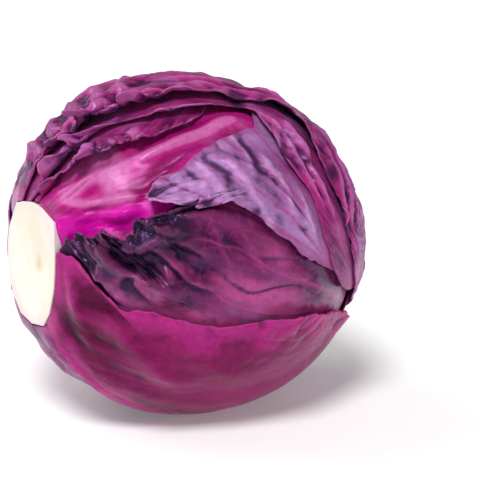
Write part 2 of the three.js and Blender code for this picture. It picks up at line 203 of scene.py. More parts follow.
def stemRing(steps):
    angle = np.radians([c[0] for c in stem["corners"]])
    radius = np.array([c[1] for c in stem["corners"]])
    y = stem["centreY"] - radius * np.cos(angle)
    z = stem["centreZ"] + radius * np.sin(angle)
    x = -stem["faceDistance"] - stem["faceTilt"] * (y - stem["centreY"])
    corners = np.stack([x, y, z], axis=-1)
    following = np.roll(corners, -1, axis=0)
    parts = [corners + (following - corners) * k / steps for k in range(steps)]
    return np.stack(parts, axis=1).reshape(-1, 3)


stemCorners = stemRing(1)
stemNormals = np.cross(np.roll(stemCorners, -1, axis=0), stemCorners)
stemNormals /= lengthOf(stemNormals)[:, None]


def stemClearance(d):
    away = (d @ stemNormals.T).max(axis=-1) * head["surfaceRadius"]
    return np.where(d[..., 0] > -head["stemEnd"], head["surfaceRadius"], away)


def lineOver(places):
    # a line over the head as points a few degrees apart
    points = []
    ends = directionOf(np.array([p[0] for p in places]), np.array([p[1] for p in places]))
    for start, end in zip(ends[:-1], ends[1:]):
        steps = int(math.ceil(math.degrees(math.acos(min(1, start @ end))) / creases["lineStep"])) + 1
        points.extend(start + (end - start) * k / steps for k in range(steps))
    points.append(ends[-1])
    points = np.array(points)
    return points / lengthOf(points)[:, None] * head["surfaceRadius"]


def alongLine(p, line):
    # distance from a line, minus on its right as seen from outside, and how far along it from 0 to 1
    best = np.full(p.shape[:-1], 1e9)
    where = np.zeros(p.shape[:-1])
    side = np.ones(p.shape[:-1])
    for i in range(len(line) - 1):
        run = line[i + 1] - line[i]
        off = p - line[i]
        t = np.clip((off @ run) / (run @ run), 0, 1)
        away = lengthOf(off - t[..., None] * run)
        nearer = away < best
        left = (np.cross(run, off) * p).sum(axis=-1) >= 0
        side = np.where(nearer, np.where(left, 1, -1), side)
        best = np.where(nearer, away, best)
        where = np.where(nearer, (i + t) / (len(line) - 1), where)
    return best * side, where


def wobble(p, size, amount):
    return amount * (np.stack([softNoise(p, size, seed) for seed in (91, 92, 93)], axis=-1) - 0.5)


def foldHeight(p, folds):
    # ridges, bowls, and cliffs where the leaf laps over itself, high on the left of their line
    height = 0
    bent = p
    for size, amount in creases["wander"]:
        bent = bent + wobble(p, size, amount)
    for kind, crest, width, line in folds:
        away, where = alongLine(bent, line)
        ends = smoothStep(where * creases["fadeIn"]) * smoothStep((1 - where) * creases["fadeOut"])
        if kind == "cliff":
            foot = smoothStep(1 + away / creases["cliffFoot"])
            profile = np.where(away > 0, np.exp(-np.abs(away) / width), foot)
        elif kind == "bowl":
            profile = -np.exp(-(away / width) ** 2)
        else:
            profile = np.exp(-(np.abs(away) / width) ** creases["ridgePower"])
        height = height + crest * profile * ends
    return height


def axesAbout(place):
    middle = directionOf(*place)
    ahead = np.array([-1.0, 0, 0]) - middle * -middle[0]
    ahead /= lengthOf(ahead)
    return middle, ahead, np.cross(ahead, middle)


def bearingAndReach(axes, d):
    middle, ahead, aside = axes
    bearing = np.degrees(np.arctan2(d @ aside, d @ ahead)) % 360
    return bearing, np.degrees(np.arccos(np.clip(d @ middle, -1, 1)))


def directionAt(axes, bearing, reach):
    middle, ahead, aside = axes
    b = np.radians(bearing)[..., None]
    r = np.radians(reach)[..., None]
    return (ahead * np.cos(b) + aside * np.sin(b)) * np.sin(r) + middle * np.cos(r)


def marginTable(leaf):
    # reach, ruffle, lift and length run so far, at every degree of bearing round the leaf's middle
    marks = []
    for row in leaf["outline"]:
        place = tuple(row) + (0, 0)
        bearing, reach = bearingAndReach(leaf["axes"], directionOf(place[0], place[1]))
        marks.append((float(bearing), float(reach), place[2], place[3]))
    marks.sort()
    n = len(marks)

    def mark(i):
        m = marks[i % n]
        return (m[0] + 360 * (i // n),) + m[1:]

    def slope(i):
        return (mark(i + 1)[1] - mark(i - 1)[1]) / max(mark(i + 1)[0] - mark(i - 1)[0], 1)

    table = np.zeros((361, 4))
    i = -1
    for bearing in range(361):
        while mark(i + 1)[0] <= bearing:
            i += 1
        a, b = mark(i), mark(i + 1)
        span = max(b[0] - a[0], 0.001)
        t = (bearing - a[0]) / span
        ease = t * t * (3 - 2 * t)
        swing = span * (t * (1 - t) ** 2 * slope(i) - t * t * (1 - t) * slope(i + 1))
        reach = a[1] + (b[1] - a[1]) * ease + swing
        while clearanceAt(leaf, np.array(float(bearing)), np.array(reach)) < head["leafBaseGap"]:
            reach -= 0.1
        table[bearing] = (reach, a[2] + (b[2] - a[2]) * t, a[3] + (b[3] - a[3]) * t, 0)
    tips = directionAt(leaf["axes"], wholeTurn, table[:, 0]) * head["surfaceRadius"]
    table[1:, 3] = np.cumsum(lengthOf(tips[1:] - tips[:-1]))
    return table


def clearanceAt(leaf, bearing, reach):
    return stemClearance(directionAt(leaf["axes"], bearing, reach))


def atEdge(leaf, bearing, part):
    # what the leaf's edge has at these bearings: 0 reach, 1 ruffle, 2 lift, 3 length run so far
    return np.interp(bearing, wholeTurn, leaf["table"][:, part])


def withLines(folds):
    return [(kind, crest, width, lineOver(places)) for kind, crest, width, places in folds]


def prepare(leaf):
    leaf["axes"] = axesAbout(leaf["middle"])
    leaf["veinAxes"] = axesAbout(leaf["veinsFrom"])
    leaf["table"] = marginTable(leaf)
    leaf["edgeLength"] = leaf["table"][-1, 3]
    leaf["foldLines"] = withLines(leaf["folds"])


def find(leaf, d):
    bearing, reach = bearingAndReach(leaf["axes"], d)
    edge, ruffle, lift, run = [atEdge(leaf, bearing, part) for part in range(4)]
    inside = np.radians(edge - reach) * head["surfaceRadius"]
    presence = smoothStep(1 + inside / head["settleLength"])
    return {"inside": inside, "ruffle": ruffle, "lift": lift, "run": run, "presence": presence}


def ruffleFingers(leaf, run, depth):
    # the narrow folds that run in from a ruffled edge, a coarse and a fine set
    width, length = leaf["fingers"]
    whole = leaf["edgeLength"]
    sets = []
    coarse = (width, length * fingers["coarseLength"], 5)
    fine = (width * fingers["fineWidth"], fingers["fineLength"], 6)
    for wide, deep, seed in (coarse, fine):
        count = round(whole / wide)
        sets.append(stripNoise(run / whole * count, depth / deep, leaf["seed"] + seed, count))
    return sets


def fingerSwell(coarse):
    return smoothStep((coarse - fingers["foot"]) * fingers["slope"])


def fanFolds(leaf, d, p):
    # long folds that fan out from where the leaf's veins start
    fan = leaf["fan"]
    bearing, reach = bearingAndReach(leaf["veinAxes"], d)
    far = np.radians(reach) * head["surfaceRadius"]
    turn = np.radians((bearing + leaf["veinCut"]) % 360)
    wander = 0
    for k, (size, amount) in enumerate(fanShape["wander"]):
        wander = wander + softNoise(p, size, leaf["seed"] + k) * amount
    place = np.stack([turn * fan["perRadian"] + wander, far / fan["length"], np.zeros_like(far)], axis=-1)
    broad = softNoise(place, 1.0, leaf["seed"] + 2)
    narrow = softNoise(place * np.array(fanShape["fineScale"]), 1.0, leaf["seed"] + 7)
    window = smoothStep((far - fan["start"]) / fanShape["fadeIn"])
    patchy = smoothStep(softNoise(p, fanShape["patch"], leaf["seed"] + 8) * 2 - 0.5)
    strength = fanShape["weakest"] + (1 - fanShape["weakest"]) * patchy
    return fan["height"] * (pillow(broad) + fan["fine"] * pillow(narrow)) * window * strength


def rise(leaf, d, found):
    # how far the leaf stands off what is under it, where nothing presses it down
    seed, ruffle = leaf["seed"], found["ruffle"]
    depth = np.maximum(found["inside"], 0)
    coarse, fine = ruffleFingers(leaf, found["run"], depth)
    deep = depth / leaf["fingers"][1]
    height = found["lift"] * np.exp(-depth / head["liftLength"])
    height = height + ruffle * fingerSwell(coarse) * np.exp(-deep ** 1.5)
    height = height + fingers["fineLift"] * ruffle * (pillow(fine) - 0.4) * np.exp(-deep * 2)
    p = d * head["surfaceRadius"]
    height = height + foldHeight(p, leaf["foldLines"]) + fanFolds(leaf, d, p)
    large, small = creases["wrinkleSizes"]
    wrinkle = softNoise(p, large, seed + 3) + 0.5 * pillow(softNoise(p, small, seed + 4))
    height = height + leaf["wrinkle"] * wrinkle
    large, small = creases["crumpleSizes"]
    crumple = pillow(softNoise(p + wobble(p, large, 3), large, seed + 12))
    crumple = crumple + 0.5 * pillow(softNoise(p, small, seed + 13)) - 0.9
    height = height + leaf["crumple"] * ruffle * crumple * np.exp(-(depth / creases["crumpleLength"]) ** 2)
    height = np.maximum(height - leaf["sink"], -head["layerStep"] * head["deepestSink"])
    return height * smoothStep(stemClearance(d) / head["leafBaseLength"])


def survey(d):
    # where each leaf is at these directions, how free of later leaves it lies (1 free, 0 pressed
    # down), and how bare the inner head is
    found = [find(leaf, d) for leaf in leaves]
    free = []
    above = np.ones(d.shape[:-1])
    for place in reversed(found):
        free.insert(0, above)
        above = above * (1 - place["presence"])
    return found, free, above


def layersBeneath(index, d, found, free):
    height = np.zeros(d.shape[:-1])
    for leaf, place, loose in zip(leaves[:index], found, free):
        there = place["presence"] > 0
        raised = np.zeros(d.shape[:-1])
        stands = there & (loose > 0)
        raised[stands] = rise(leaf, d[stands], {key: value[stands] for key, value in place.items()})
        height = height + place["presence"] * (head["layerStep"] + raised * loose)
    return height


def stemFlare(d, found, free):
    # how far the leaf bases rise so that the uppermost ends level with the cut face's rim
    plane = -stem["faceDistance"] + stem["faceTilt"] * stem["centreY"]
    clearance = stemClearance(d)
    slant = np.arccos(np.clip(-d[..., 0] - stem["faceTilt"] * d[..., 1], 0.4, 1))
    above = 1 - smoothStep((-d[..., 2] - head["underStart"]) * head["underSlope"])
    along = -np.cos(slant - above * np.maximum(clearance, 0) / head["surfaceRadius"])
    top = innerRadius(d) + layersBeneath(len(leaves), d, found, free)
    near = 1 - smoothStep(clearance / head["flareLength"])
    return (plane / along - head["flareDrop"] - top) * near


def readPoints(piece):
    flat = np.empty(len(piece.data.vertices) * 3)
    piece.data.vertices.foreach_get("co", flat)
    return flat.reshape(-1, 3)


def wrappedGrid(name, columns, rows):
    # a flat grid to be wrapped; gives each vertex its column and row as fractions
    bpy.ops.mesh.primitive_grid_add(x_subdivisions=columns, y_subdivisions=rows, size=2, location=(0, 0, 0))
    piece = bpy.context.active_object
    piece.name = name
    piece.data.name = name
    flat = readPoints(piece)
    return piece, (flat[:, 0] + 1) / 2, (flat[:, 1] + 1) / 2


def writePoints(piece, points):
    # millimetres about the head's middle become metres in the frame
    placed = points / 1000 + np.array(headCentre)
    piece.data.vertices.foreach_set("co", placed.ravel())
    piece.data.update()


def writeNumbers(piece, name, values):
    layer = piece.data.attributes.new(name, 'FLOAT', 'POINT')
    layer.data.foreach_set("value", np.asarray(values, dtype=np.float32))


def writeVeinMap(piece, u, v):
    layers = piece.data.uv_layers
    layer = layers[0] if layers else layers.new(name="veins")
    layer.name = "veins"
    corners = np.empty(len(piece.data.loops), dtype=int)
    piece.data.loops.foreach_get("vertex_index", corners)
    layer.data.foreach_set("uv", np.stack([u[corners], v[corners]], axis=-1).ravel())


def editMesh(operator, **values):
    # one mesh operator on all of the active piece
    bpy.ops.object.mode_set(mode='EDIT')
    bpy.ops.mesh.select_all(action='SELECT')
    operator(**values)
    bpy.ops.object.mode_set(mode='OBJECT')


def selectOnly(piece):
    bpy.ops.object.select_all(action='DESELECT')
    piece.select_set(True)
    bpy.context.view_layer.objects.active = piece


def closeSeams(piece):
    selectOnly(piece)
    editMesh(bpy.ops.mesh.remove_doubles, threshold=head["mergeDistance"])
    face = piece.data.polygons[len(piece.data.polygons) // 2]
    if face.normal.dot(face.center - headCentre) < 0:
        editMesh(bpy.ops.mesh.flip_normals)


def applyModifier(piece, kind, **values):
    bpy.context.view_layer.objects.active = piece
    modifier = piece.modifiers.new(kind.lower(), kind)
    for key, value in values.items():
        setattr(modifier, key, value)
    bpy.ops.object.modifier_apply(modifier=modifier.name)


def finishPiece(piece, node, material):
    piece.data.materials.clear()
    piece.data.materials.append(material)
    selectOnly(piece)
    bpy.ops.object.shade_smooth()
    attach(piece, "root")
    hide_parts(node)
    print(piece.name, len(piece.data.polygons), "faces")


def marginBearings(leaf, fractions):
    # bearings for places spread evenly along the edge, closer where it is ruffled
    steps = np.diff(leaf["table"][:, 3]) * (1 + rim["closerWhereRuffled"] * leaf["table"][:-1, 1])
    run = np.concatenate([[0], np.cumsum(steps)])
    return np.interp(fractions * run[-1], run, wholeTurn)


def runningMean(grid, reach, axis):
    return sum(np.roll(grid, k, axis=axis) for k in range(-reach, reach + 1)) / (2 * reach + 1)


def paintedFoldShading(values, column, row, columns, rows):
    # from -1 in hollows to 1 on crests: each height against those around it in the mesh's grid, the mask
    # for painted shade in hollows and painted highlight on crests
    order = np.lexsort((column, row))
    grid = values[order].reshape(rows + 1, columns + 1)[:, :-1]
    total = 0
    for wide, tall, full in creases["shadeScales"]:
        smooth = grid
        for again in range(creases["shadePasses"]):
            smooth = runningMean(smooth, wide, 1)
            padded = np.pad(smooth, ((tall, tall), (0, 0)), mode='edge')
            smooth = sum(padded[k:k + rows + 1] for k in range(2 * tall + 1)) / (2 * tall + 1)
        total = total + np.clip((grid - smooth) / full, -1, 1) / 2
    total = np.concatenate([total, total[:, :1]], axis=1)
    result = np.empty_like(values)
    result[order] = total.ravel()
    return np.clip(result * creases["shadeGain"], -1, 1)


def unitAway(axes, bearing, reach, d):
    # the direction over the surface from d to another place close by
    away = directionAt(axes, bearing, reach) - d
    return away / np.maximum(lengthOf(away), 1e-9)[:, None]


def ragged(leaf, bearing, reachPart):
    # how far each place of the wrapped grid reaches, with the edge's scallops and teeth, and its hem
    margin, ruffle, run = (atEdge(leaf, bearing, part) for part in (0, 1, 3))
    coarse, fine = ruffleFingers(leaf, run, np.zeros_like(run))
    teeth = rim["teeth"]
    jagged = stripNoise(run / leaf["edgeLength"] * teeth, np.zeros_like(run), leaf["seed"] + 9, teeth)
    scallop = rim["swellReach"] * (fingerSwell(coarse) - 0.5) + rim["fineReach"] * (pillow(fine) - 0.5)
    scallop = ruffle * scallop + rim["toothReach"] * (jagged - 0.5)
    hem = leaf["hem"] * np.clip(ruffle / rim["fullHemAt"], 0, 1) * (0.4 + 0.6 * coarse)
    clearEdge = smoothStep(clearanceAt(leaf, bearing, margin) / rim["stemRange"])
    loose = clearEdge * np.interp(bearing, wholeTurn, leaf["openEdge"])
    further = np.degrees((scallop + 0.5 * hem) / head["surfaceRadius"]) * reachPart ** 5 * loose
    return margin + further, hem * clearEdge


def buildLeaf(index):
    leaf = leaves[index]
    axes, columns, rows = leaf["axes"], leaf["columns"], leaf["rows"]
    piece, column, row = wrappedGrid(leaf["piece"], columns, rows)
    bearing = marginBearings(leaf, column)
    reachPart = 1 - (1 - row) ** leaf["edgeRows"]
    margin, hem = ragged(leaf, bearing, reachPart)
    ruffle, run = atEdge(leaf, bearing, 1), atEdge(leaf, bearing, 3)
    reach = reachPart * margin
    d = directionAt(axes, bearing, reach)
    found, free = survey(d)[:2]
    flare = stemFlare(d, found, free)
    beneath = layersBeneath(index, d, found, free)
    depth = np.radians(margin * (1 - reachPart)) * head["surfaceRadius"]
    place = dict(found[index], inside=depth)
    free = free[index]
    standing = rise(leaf, d, place) * free
    height = innerRadius(d) + flare + head["layerStep"] + beneath + standing
    points = d * height[:, None]

    # the ruffled edge leans over itself from side to side
    sideways = unitAway(axes, bearing + rim["lookAside"], reach, d)
    coarse, fine = ruffleFingers(leaf, run, depth)
    loose = free * ruffle * smoothStep(stemClearance(d) / head["leafBaseLength"])
    lean = 0
    for noise, (amount, length) in ((coarse, rim["coarseLean"]), (fine, rim["fineLean"])):
        lean = lean + amount * (noise - 0.5) * np.exp(-depth / length)
    points = points + sideways * (lean * loose)[:, None]

    # and rolls back over itself along its rim
    outward = unitAway(axes, bearing, reach + rim["lookAside"], d)
    rolled = np.clip(hem * free - depth, 0, None)
    curl = rim["tightestCurl"] + rim["looserCurl"] * fine
    turned = rolled / curl
    points = points + outward * (curl * np.sin(turned) - rolled)[:, None]
    points = points + d * (curl * (1 - np.cos(turned)))[:, None]
    points[:, 2] = np.maximum(points[:, 2], -head["tableDepth"])
    writePoints(piece, points)

    veinBearing, veinReach = bearingAndReach(leaf["veinAxes"], d)
    writeVeinMap(piece, np.radians((veinBearing + leaf["veinCut"]) % 360), np.radians(veinReach))
    writeNumbers(piece, "edgeDistance", depth)
    least, span = rim["fullRuffle"]
    writeNumbers(piece, "ruffled", np.clip((ruffle - least) / span, 0, 1))
    # the crest attribute is the mask for painted shade in the folds' hollows and painted highlight on their
    # crests
    writeNumbers(piece, "crest", paintedFoldShading(standing + beneath, column, row, columns, rows))
    closeSeams(piece)
    thickness = head["bladeThickness"] / 1000
    applyModifier(piece, 'SOLIDIFY', thickness=thickness, offset=-1, use_even_offset=False)
    return piece


# The leaves from the innermost out, each lying on those before it. An outline row is
# (fromStem, round, ruffle, lift); a fold is (kind, height, width, places).
leaves = [
    {
        "piece": "topInnerLeaf", "node": "leaf_top_inner", "slot": "top_leaf", "middle": (56, 92),
        "seed": 11, "veinsFrom": (104, 96), "veinCut": 180, "wrinkle": 0.6, "columns": 300, "rows": 54,
        "hem": 6, "edgeRows": 1.5, "sink": 0.3, "crumple": 0.4, "fingers": (6, 16),
        "fan": {"height": 1.2, "perRadian": 12, "length": 50, "start": 0, "fine": 0.4},
        "outline": [
            (10, 66), (24.5, 69, 1.5, 1), (29.7, 70, 3.5, 2), (33.6, 68, 4, 2), (38.8, 65, 4.5, 1.5),
            (44.6, 62.4, 4.5, 1.2), (49.7, 60.9, 4, 1), (56.4, 60, 3.5, 1), (62.6, 58.8, 2.5, 0.8),
            (67.9, 59, 1, 0.5), (74, 60, 0.5, 0.4), (84, 62), (92, 72), (92, 92), (82, 106), (70, 116),
            (55, 122), (38, 126), (8, 126), (8, 100),
        ],
        "folds": [],
    },
    {
        "piece": "frontRuffledLeaf", "node": "leaf_front_ruffled", "slot": "dark_leaf",
        "middle": (80, -14), "seed": 23, "veinsFrom": (150, -48), "veinCut": 200, "wrinkle": 0.6,
        "columns": 620, "rows": 76, "hem": 4.5, "edgeRows": 1.35, "sink": -0.4, "crumple": 0.35,
        "fingers": (6.5, 14),
        "fan": {"height": 1.3, "perRadian": 6, "length": 45, "start": 15, "fine": 0.12},
        "outline": [
            (12, 0), (22, 17), (27.4, 22, 3, 1.5), (31, 23.5, 4, 2.5), (35, 24.5, 4, 3),
            (39, 29.5, 5, 3), (41.8, 24.5, 5, 2.5), (44, 27, 5, 3), (46.3, 24, 5, 2.5),
            (48.3, 16, 4, 1), (50.5, 17.5, 4, 1.5), (54, 21, 5, 2.5), (59, 27, 5, 3),
            (63, 26.3, 5, 2.5), (67, 27.2, 4, 2), (73, 28.5, 1.5, 1), (85, 36), (100, 35), (115, 28),
            (130, 12), (144, -8), (146, -28), (130, -44), (104, -54), (80, -60), (55, -60), (32, -56),
            (10, -42), (8, -15),
        ],
        "folds": [
            ("ridge", 4.2, 15, [
                (36, 14), (42.5, 11.1), (49.5, 7.6), (56.7, 2.3), (64, -1.9), (72, -8)]),
            ("ridge", 5, 2.1, [
                (42.4, 30.1), (42.9, 23.5), (44, 17.6), (46.5, 11.8), (50.7, 7.6), (55.5, 4.1),
                (60.4, 0.5), (64.7, -2.3), (70, -6)]),
            ("bowl", 6, 6, [(46.5, 19.5), (48.1, 16.5), (51, 12.2), (55.1, 7.8), (59.9, 4.8), (65, 0)]),
            ("bowl", 4.4, 4.2, [(40.5, 4), (41.9, 1.1), (43.8, -3.2), (46.2, -7.2)]),
            ("bowl", 3.8, 4.2, [(48.5, 5), (49.9, 1.9), (52.1, -2.3), (54.3, -6.1), (56, -10)]),
            ("bowl", 4.2, 5.5, [(61, 17), (64.1, 14.6), (68, 10.3), (72.7, 5.4), (78, 0)]),
            ("bowl", 4, 2.2, [(42, 29), (42.8, 25.4), (44.6, 20.9), (46.5, 16.3)]),
            ("bowl", 2.6, 2.4, [(31.5, 27), (33, 23.7), (35.4, 17.6), (38.5, 11.3), (40.5, 5)]),
            ("cliff", 5, 8, [
                (46, 21), (49.1, 16.4), (53, 14.7), (59.2, 15.2), (62.1, 13.1), (65, 10.2), (68.1, 5.6),
                (72.6, 2.1), (76.3, 0.6), (84, -3)]),
            ("cliff", 2.6, 6, [
                (58, 29), (59, 26.6), (60, 22.8), (62.2, 20.4), (65.7, 18.8), (70.6, 18.5), (75, 20)]),
            ("cliff", 2.4, 7, [
                (56, 17.5), (58.7, 16.6), (65.4, 16.2), (71.1, 14.2), (74, 12.7), (78, 9)]),
            ("ridge", 3, 1.5, [(37.9, 32.2), (40, 24.9), (40.7, 18.1), (42, 11)]),
            ("ridge", 2.6, 1.5, [(34.9, 29), (36.5, 19), (37.9, 11.8), (39, 5)]),
            ("ridge", 1.8, 1.4, [(31.4, 26.1), (32.5, 17.7), (34, 10)]),
            ("ridge", 3, 2, [(40.6, 6.2), (43.9, 2.2), (44.5, -4.4), (45, -9)]),
            ("ridge", 1.8, 1.6, [(47.4, 4), (47.4, 1.3), (47.1, -5.2), (47, -9)]),
            ("ridge", 2.6, 1.9, [(52, 4), (54.1, 0.4), (56.5, -4), (59, -9)]),
            ("ridge", 1.6, 2.2, [(61.3, 10.1), (63.5, 5.4), (65.9, 0.2), (68, -6)]),
            ("ridge", 1.4, 2.2, [(76.9, 23.8), (79.8, 17.2), (82.2, 8.5), (84, 0)]),
            ("ridge", 1.2, 2.4, [(85.9, 21.8), (89.9, 14.6), (93.5, 7.4), (97, -2)]),
        ],
    },
    {
        "piece": "rightSideLeaf", "node": "leaf_right_side", "slot": "waxy_leaf", "middle": (112, 36),
        "seed": 37, "veinsFrom": (122, 2), "veinCut": 110, "wrinkle": 0.7, "columns": 400, "rows": 68,
        "hem": 3.5, "edgeRows": 1.3, "sink": 0.5, "crumple": 0.4, "fingers": (7, 12),
        "fan": {"height": 1.1, "perRadian": 7, "length": 38, "start": 6, "fine": 0.2},
        "outline": [
            (61.5, 35.6, 3, 1), (62.6, 32.4, 3.5, 1.5), (65.5, 30.2, 3.5, 1.5), (69.5, 28.4, 3, 1.5),
            (74, 28, 2, 1), (80, 29.4, 1, 0.8), (85.8, 27.5, 1, 1), (92.8, 23.1, 1, 1.4),
            (97.4, 18.6, 0.5, 1.6), (104.2, 13.2, 0.5, 1.2), (110, 7.6, 0.3, 0.5), (119, 2.5, 0, -0.4),
            (131, -5, 1, 1), (145, -14), (158, -6), (162, 30), (152, 56), (138, 76), (122, 82),
            (111, 74), (105, 58), (94.1, 53), (86.6, 50), (79, 46.6), (72.2, 41.5, 0, 0.5),
            (68, 40.4, 0.5, 1), (64.4, 37.7, 2, 1.5),
        ],
        "folds": [
            ("ridge", 1.8, 2.4, [(121, 4), (114, 19), (112.4, 30), (110.5, 44), (106, 57)]),
            ("bowl", 1.8, 6, [(82.9, 51), (85.7, 41), (91.8, 33.5), (95.9, 26.7), (100, 20)]),
            ("bowl", 1.8, 5, [(93.4, 60), (96.6, 45.7), (99.9, 34.7), (102.8, 24.6), (108, 12)]),
            ("ridge", 1.8, 3.4, [(64, 34), (69.5, 35.2), (77.3, 36.1), (84.2, 29), (91, 22.6)]),
            ("bowl", 1.6, 2.4, [(64, 36.5), (68, 38), (74, 39), (80, 36)]),
            ("ridge", 1.4, 2.2, [(93, 56), (94.1, 50.9), (95.5, 44.6), (96.1, 39.4), (97, 34)]),
            ("ridge", 1.4, 2.6, [(82, 47), (84.1, 44.9), (88.9, 40.7), (92.6, 34.1), (98, 26)]),
            ("ridge", 1.3, 2.6, [(88, 38), (91.8, 33.5), (94.6, 27.4), (97.9, 22), (101, 17)]),
            ("ridge", 1.2, 2.2, [(77, 44), (78.8, 42.2), (82.2, 36.3), (84.2, 31)]),
            ("ridge", 1.2, 2.8, [(100.3, 48), (103.2, 35.7), (106.5, 27.5), (112, 15)]),
        ],
    },
    {
        "piece": "topMiddleLeaf", "node": "leaf_top_middle", "slot": "top_leaf", "middle": (118, 84),
        "seed": 41, "veinsFrom": (136, -10), "veinCut": 70, "wrinkle": 0.6, "columns": 440, "rows": 68,
        "hem": 5, "edgeRows": 1.4, "sink": 1, "crumple": 0.35, "fingers": (7, 16),
        "fan": {"height": 2, "perRadian": 12, "length": 60, "start": 4, "fine": 0.3},
        "outline": [
            (9, 73), (24, 70, 1, 1), (31.7, 74, 4.5, 1.5), (39.7, 73, 4.5, 1.5), (47.8, 72.6, 4, 1.5),
            (55.3, 72.5, 3.5, 1.2), (59.8, 72, 3, 1), (64.6, 70, 2.5, 1), (70.4, 67.8, 2, 1),
            (79.3, 66, 0.5, 1.5), (87, 65.5, 0.5, 1.5), (94, 67, 1, 1.5), (100, 67.5, 1, 1.5),
            (104, 67, 0.8, 1.2), (106.8, 62, 0.8, 1.2), (108.3, 52.5, 0.8, 1.6), (109.5, 47.1, 1, 1.2),
            (111.2, 41.3, 0.6, 0.4), (113.9, 36.2, 0.3, -0.5), (117, 30, 0.2, -1),
            (119.5, 20, 0.2, -1.2), (122, 9, 0, -1.2), (126, -2, 0, -1.2), (134, -14), (146, -18),
            (156, 10), (154, 70), (138, 105), (115, 120), (90, 125), (65, 130), (40, 135), (8, 138),
            (8, 105),
        ],
        "folds": [
            ("ridge", 3.2, 2.2, [
                (116, 66), (117.5, 60), (119, 52.8), (120.5, 39.6), (124, 26), (130, 8)]),
            ("ridge", 2.8, 1.8, [(111, 64), (112, 55), (114.5, 44), (118.5, 32), (124, 18)]),
            ("bowl", 2.2, 2, [(113.5, 66), (115, 57), (117.5, 46), (121.5, 30), (126.5, 14)]),
            ("ridge", 2.6, 2, [(58.6, 63.4), (52, 66), (46, 70), (40, 78), (37, 88)]),
            ("ridge", 2.2, 1.8, [(66, 66), (58, 70), (50, 74), (44, 84)]),
            ("bowl", 2, 3, [(60, 66), (52, 70), (44, 77), (38, 90)]),
        ],
    },
    {
        "piece": "underLeaf", "node": "leaf_under", "slot": "dark_leaf", "middle": (90, -90),
        "seed": 53, "veinsFrom": (14, -100), "veinCut": 0, "wrinkle": 0.7, "columns": 280, "rows": 50,
        "hem": 3, "edgeRows": 1.2, "sink": 0.6, "crumple": 0.2, "fingers": (8, 14),
        "fan": {"height": 1.2, "perRadian": 6, "length": 45, "start": 6, "fine": 0.3},
        "outline": [
            (9, -48), (24, -43, 1, 1), (34, -43), (50, -49), (70, -53), (90, -54), (110, -52),
            (130, -44), (150, -30), (167, -50), (165, -118), (146, -144), (122, -150), (100, -150),
            (80, -152), (60, -156), (38, -164), (8, -165), (8, -110),
        ],
        "folds": [
            ("ridge", 2, 5, [(26, -92), (36, -84), (48, -74)]),
            ("ridge", 1.6, 5, [(28, -70), (38, -64), (46, -60)]),
            ("ridge", 2, 6, [(26, -122), (40, -116), (56, -108)]),
        ],
    },
    {
        "piece": "topOuterLeaf", "node": "leaf_top_outer", "slot": "top_leaf", "middle": (122, 118),
        "seed": 67, "veinsFrom": (140, -16), "veinCut": 60, "wrinkle": 0.7, "columns": 560, "rows": 76,
        "hem": 6, "edgeRows": 1.45, "sink": 1.6, "crumple": 0.45, "fingers": (9.5, 24),
        "fan": {"height": 1.5, "perRadian": 8, "length": 34, "start": 4, "fine": 0.5},
        "outline": [
            (9, 98), (24, 93, 0.5, 0.3), (34, 87, 4, 0.6), (41.8, 81, 6.5, 1), (51.3, 80, 7, 1.2),
            (55.9, 77.5, 6.5, 1), (63.7, 73.5, 5, 0.8), (70, 72.5, 3.5, 0.8), (75, 73, 2.5, 0.8),
            (81, 73, 2, 0.8), (89.6, 72, 1.5, 0.8), (97.7, 71.5, 1.5, 0.8), (104, 71, 1.5, 0.8),
            (110, 70, 1.5, 1), (117, 69.5, 1.5, 1.5), (122.5, 67, 1, 1.8), (125.6, 61, 0.6, 1.8),
            (125.3, 53, 0.6, 1.4), (126.5, 44.4, 0.4, 0.6), (129, 34, 0.3, -0.4), (131, 22, 0.2, -1),
            (134, 8, 0.2, -1), (138, -8, 0.5, -0.6), (143, -24, 1, 0), (148, -44, 1.5, 1),
            (151, -80, 1.5, 1.5), (148, -124, 1.5, 1.5), (134, -152, 0.5, 1), (112, -166), (86, -172),
            (60, -176), (38, 178), (8, 172), (8, 130),
        ],
        "folds": [
            ("cliff", 3.4, 5, [(134, 12), (137.5, 27.7), (135.1, 44.5), (130.8, 59), (124, 70)]),
            ("ridge", 2.6, 1.8, [(129.5, 6), (131.5, 20.4), (132, 35.6), (130, 50), (126, 62)]),
            ("bowl", 2.2, 1.8, [(132, 4), (134, 20), (134.6, 35), (132, 50)]),
            ("ridge", 2.2, 1.6, [(140, 8), (142, 24), (141, 42), (137, 58)]),
            ("ridge", 2.4, 8, [(94, 96), (103, 97), (110, 95), (118, 90)]),
            ("ridge", 3.4, 7, [(56, 113), (65, 110), (72, 107), (79, 104)]),
            ("ridge", 2, 2.4, [(78, 88), (92, 84), (106, 82), (118, 78), (127, 68)]),
            ("ridge", 1.8, 2, [(84, 80), (97, 77), (109, 75.5), (119, 73)]),
            ("ridge", 2.8, 3.4, [(77, 106), (71, 94), (65.4, 78)]),
            ("ridge", 3.4, 3, [(66, 112), (62.5, 97), (60, 80)]),
            ("bowl", 1.6, 2.6, [(62, 104), (58.5, 98), (56.5, 86)]),
            ("ridge", 3.2, 2.8, [(58, 110), (53, 97), (52.4, 84)]),
            ("ridge", 2.6, 2.4, [(50, 114), (46, 104), (42.6, 88)]),
            ("bowl", 1.4, 2.2, [(44, 112), (41, 102), (40.5, 92)]),
            ("ridge", 2.4, 2.4, [(38, 112), (37, 104), (36, 92)]),
            ("ridge", 2.4, 4.5, [(128, 76), (132, 66), (136, 52), (139, 36), (142, 18)]),
            ("ridge", 2, 5, [(118, 84), (130, 88), (142, 84), (152, 66)]),
            ("ridge", 2.6, 5, [(30, 108), (38, 110), (48, 104)]),
            ("ridge", 2.6, 5, [(50, 100), (57, 110), (62, 124)]),
            ("ridge", 1.2, 5, [(70, 92), (84, 96), (98, 94)]),
        ],
    },
    {
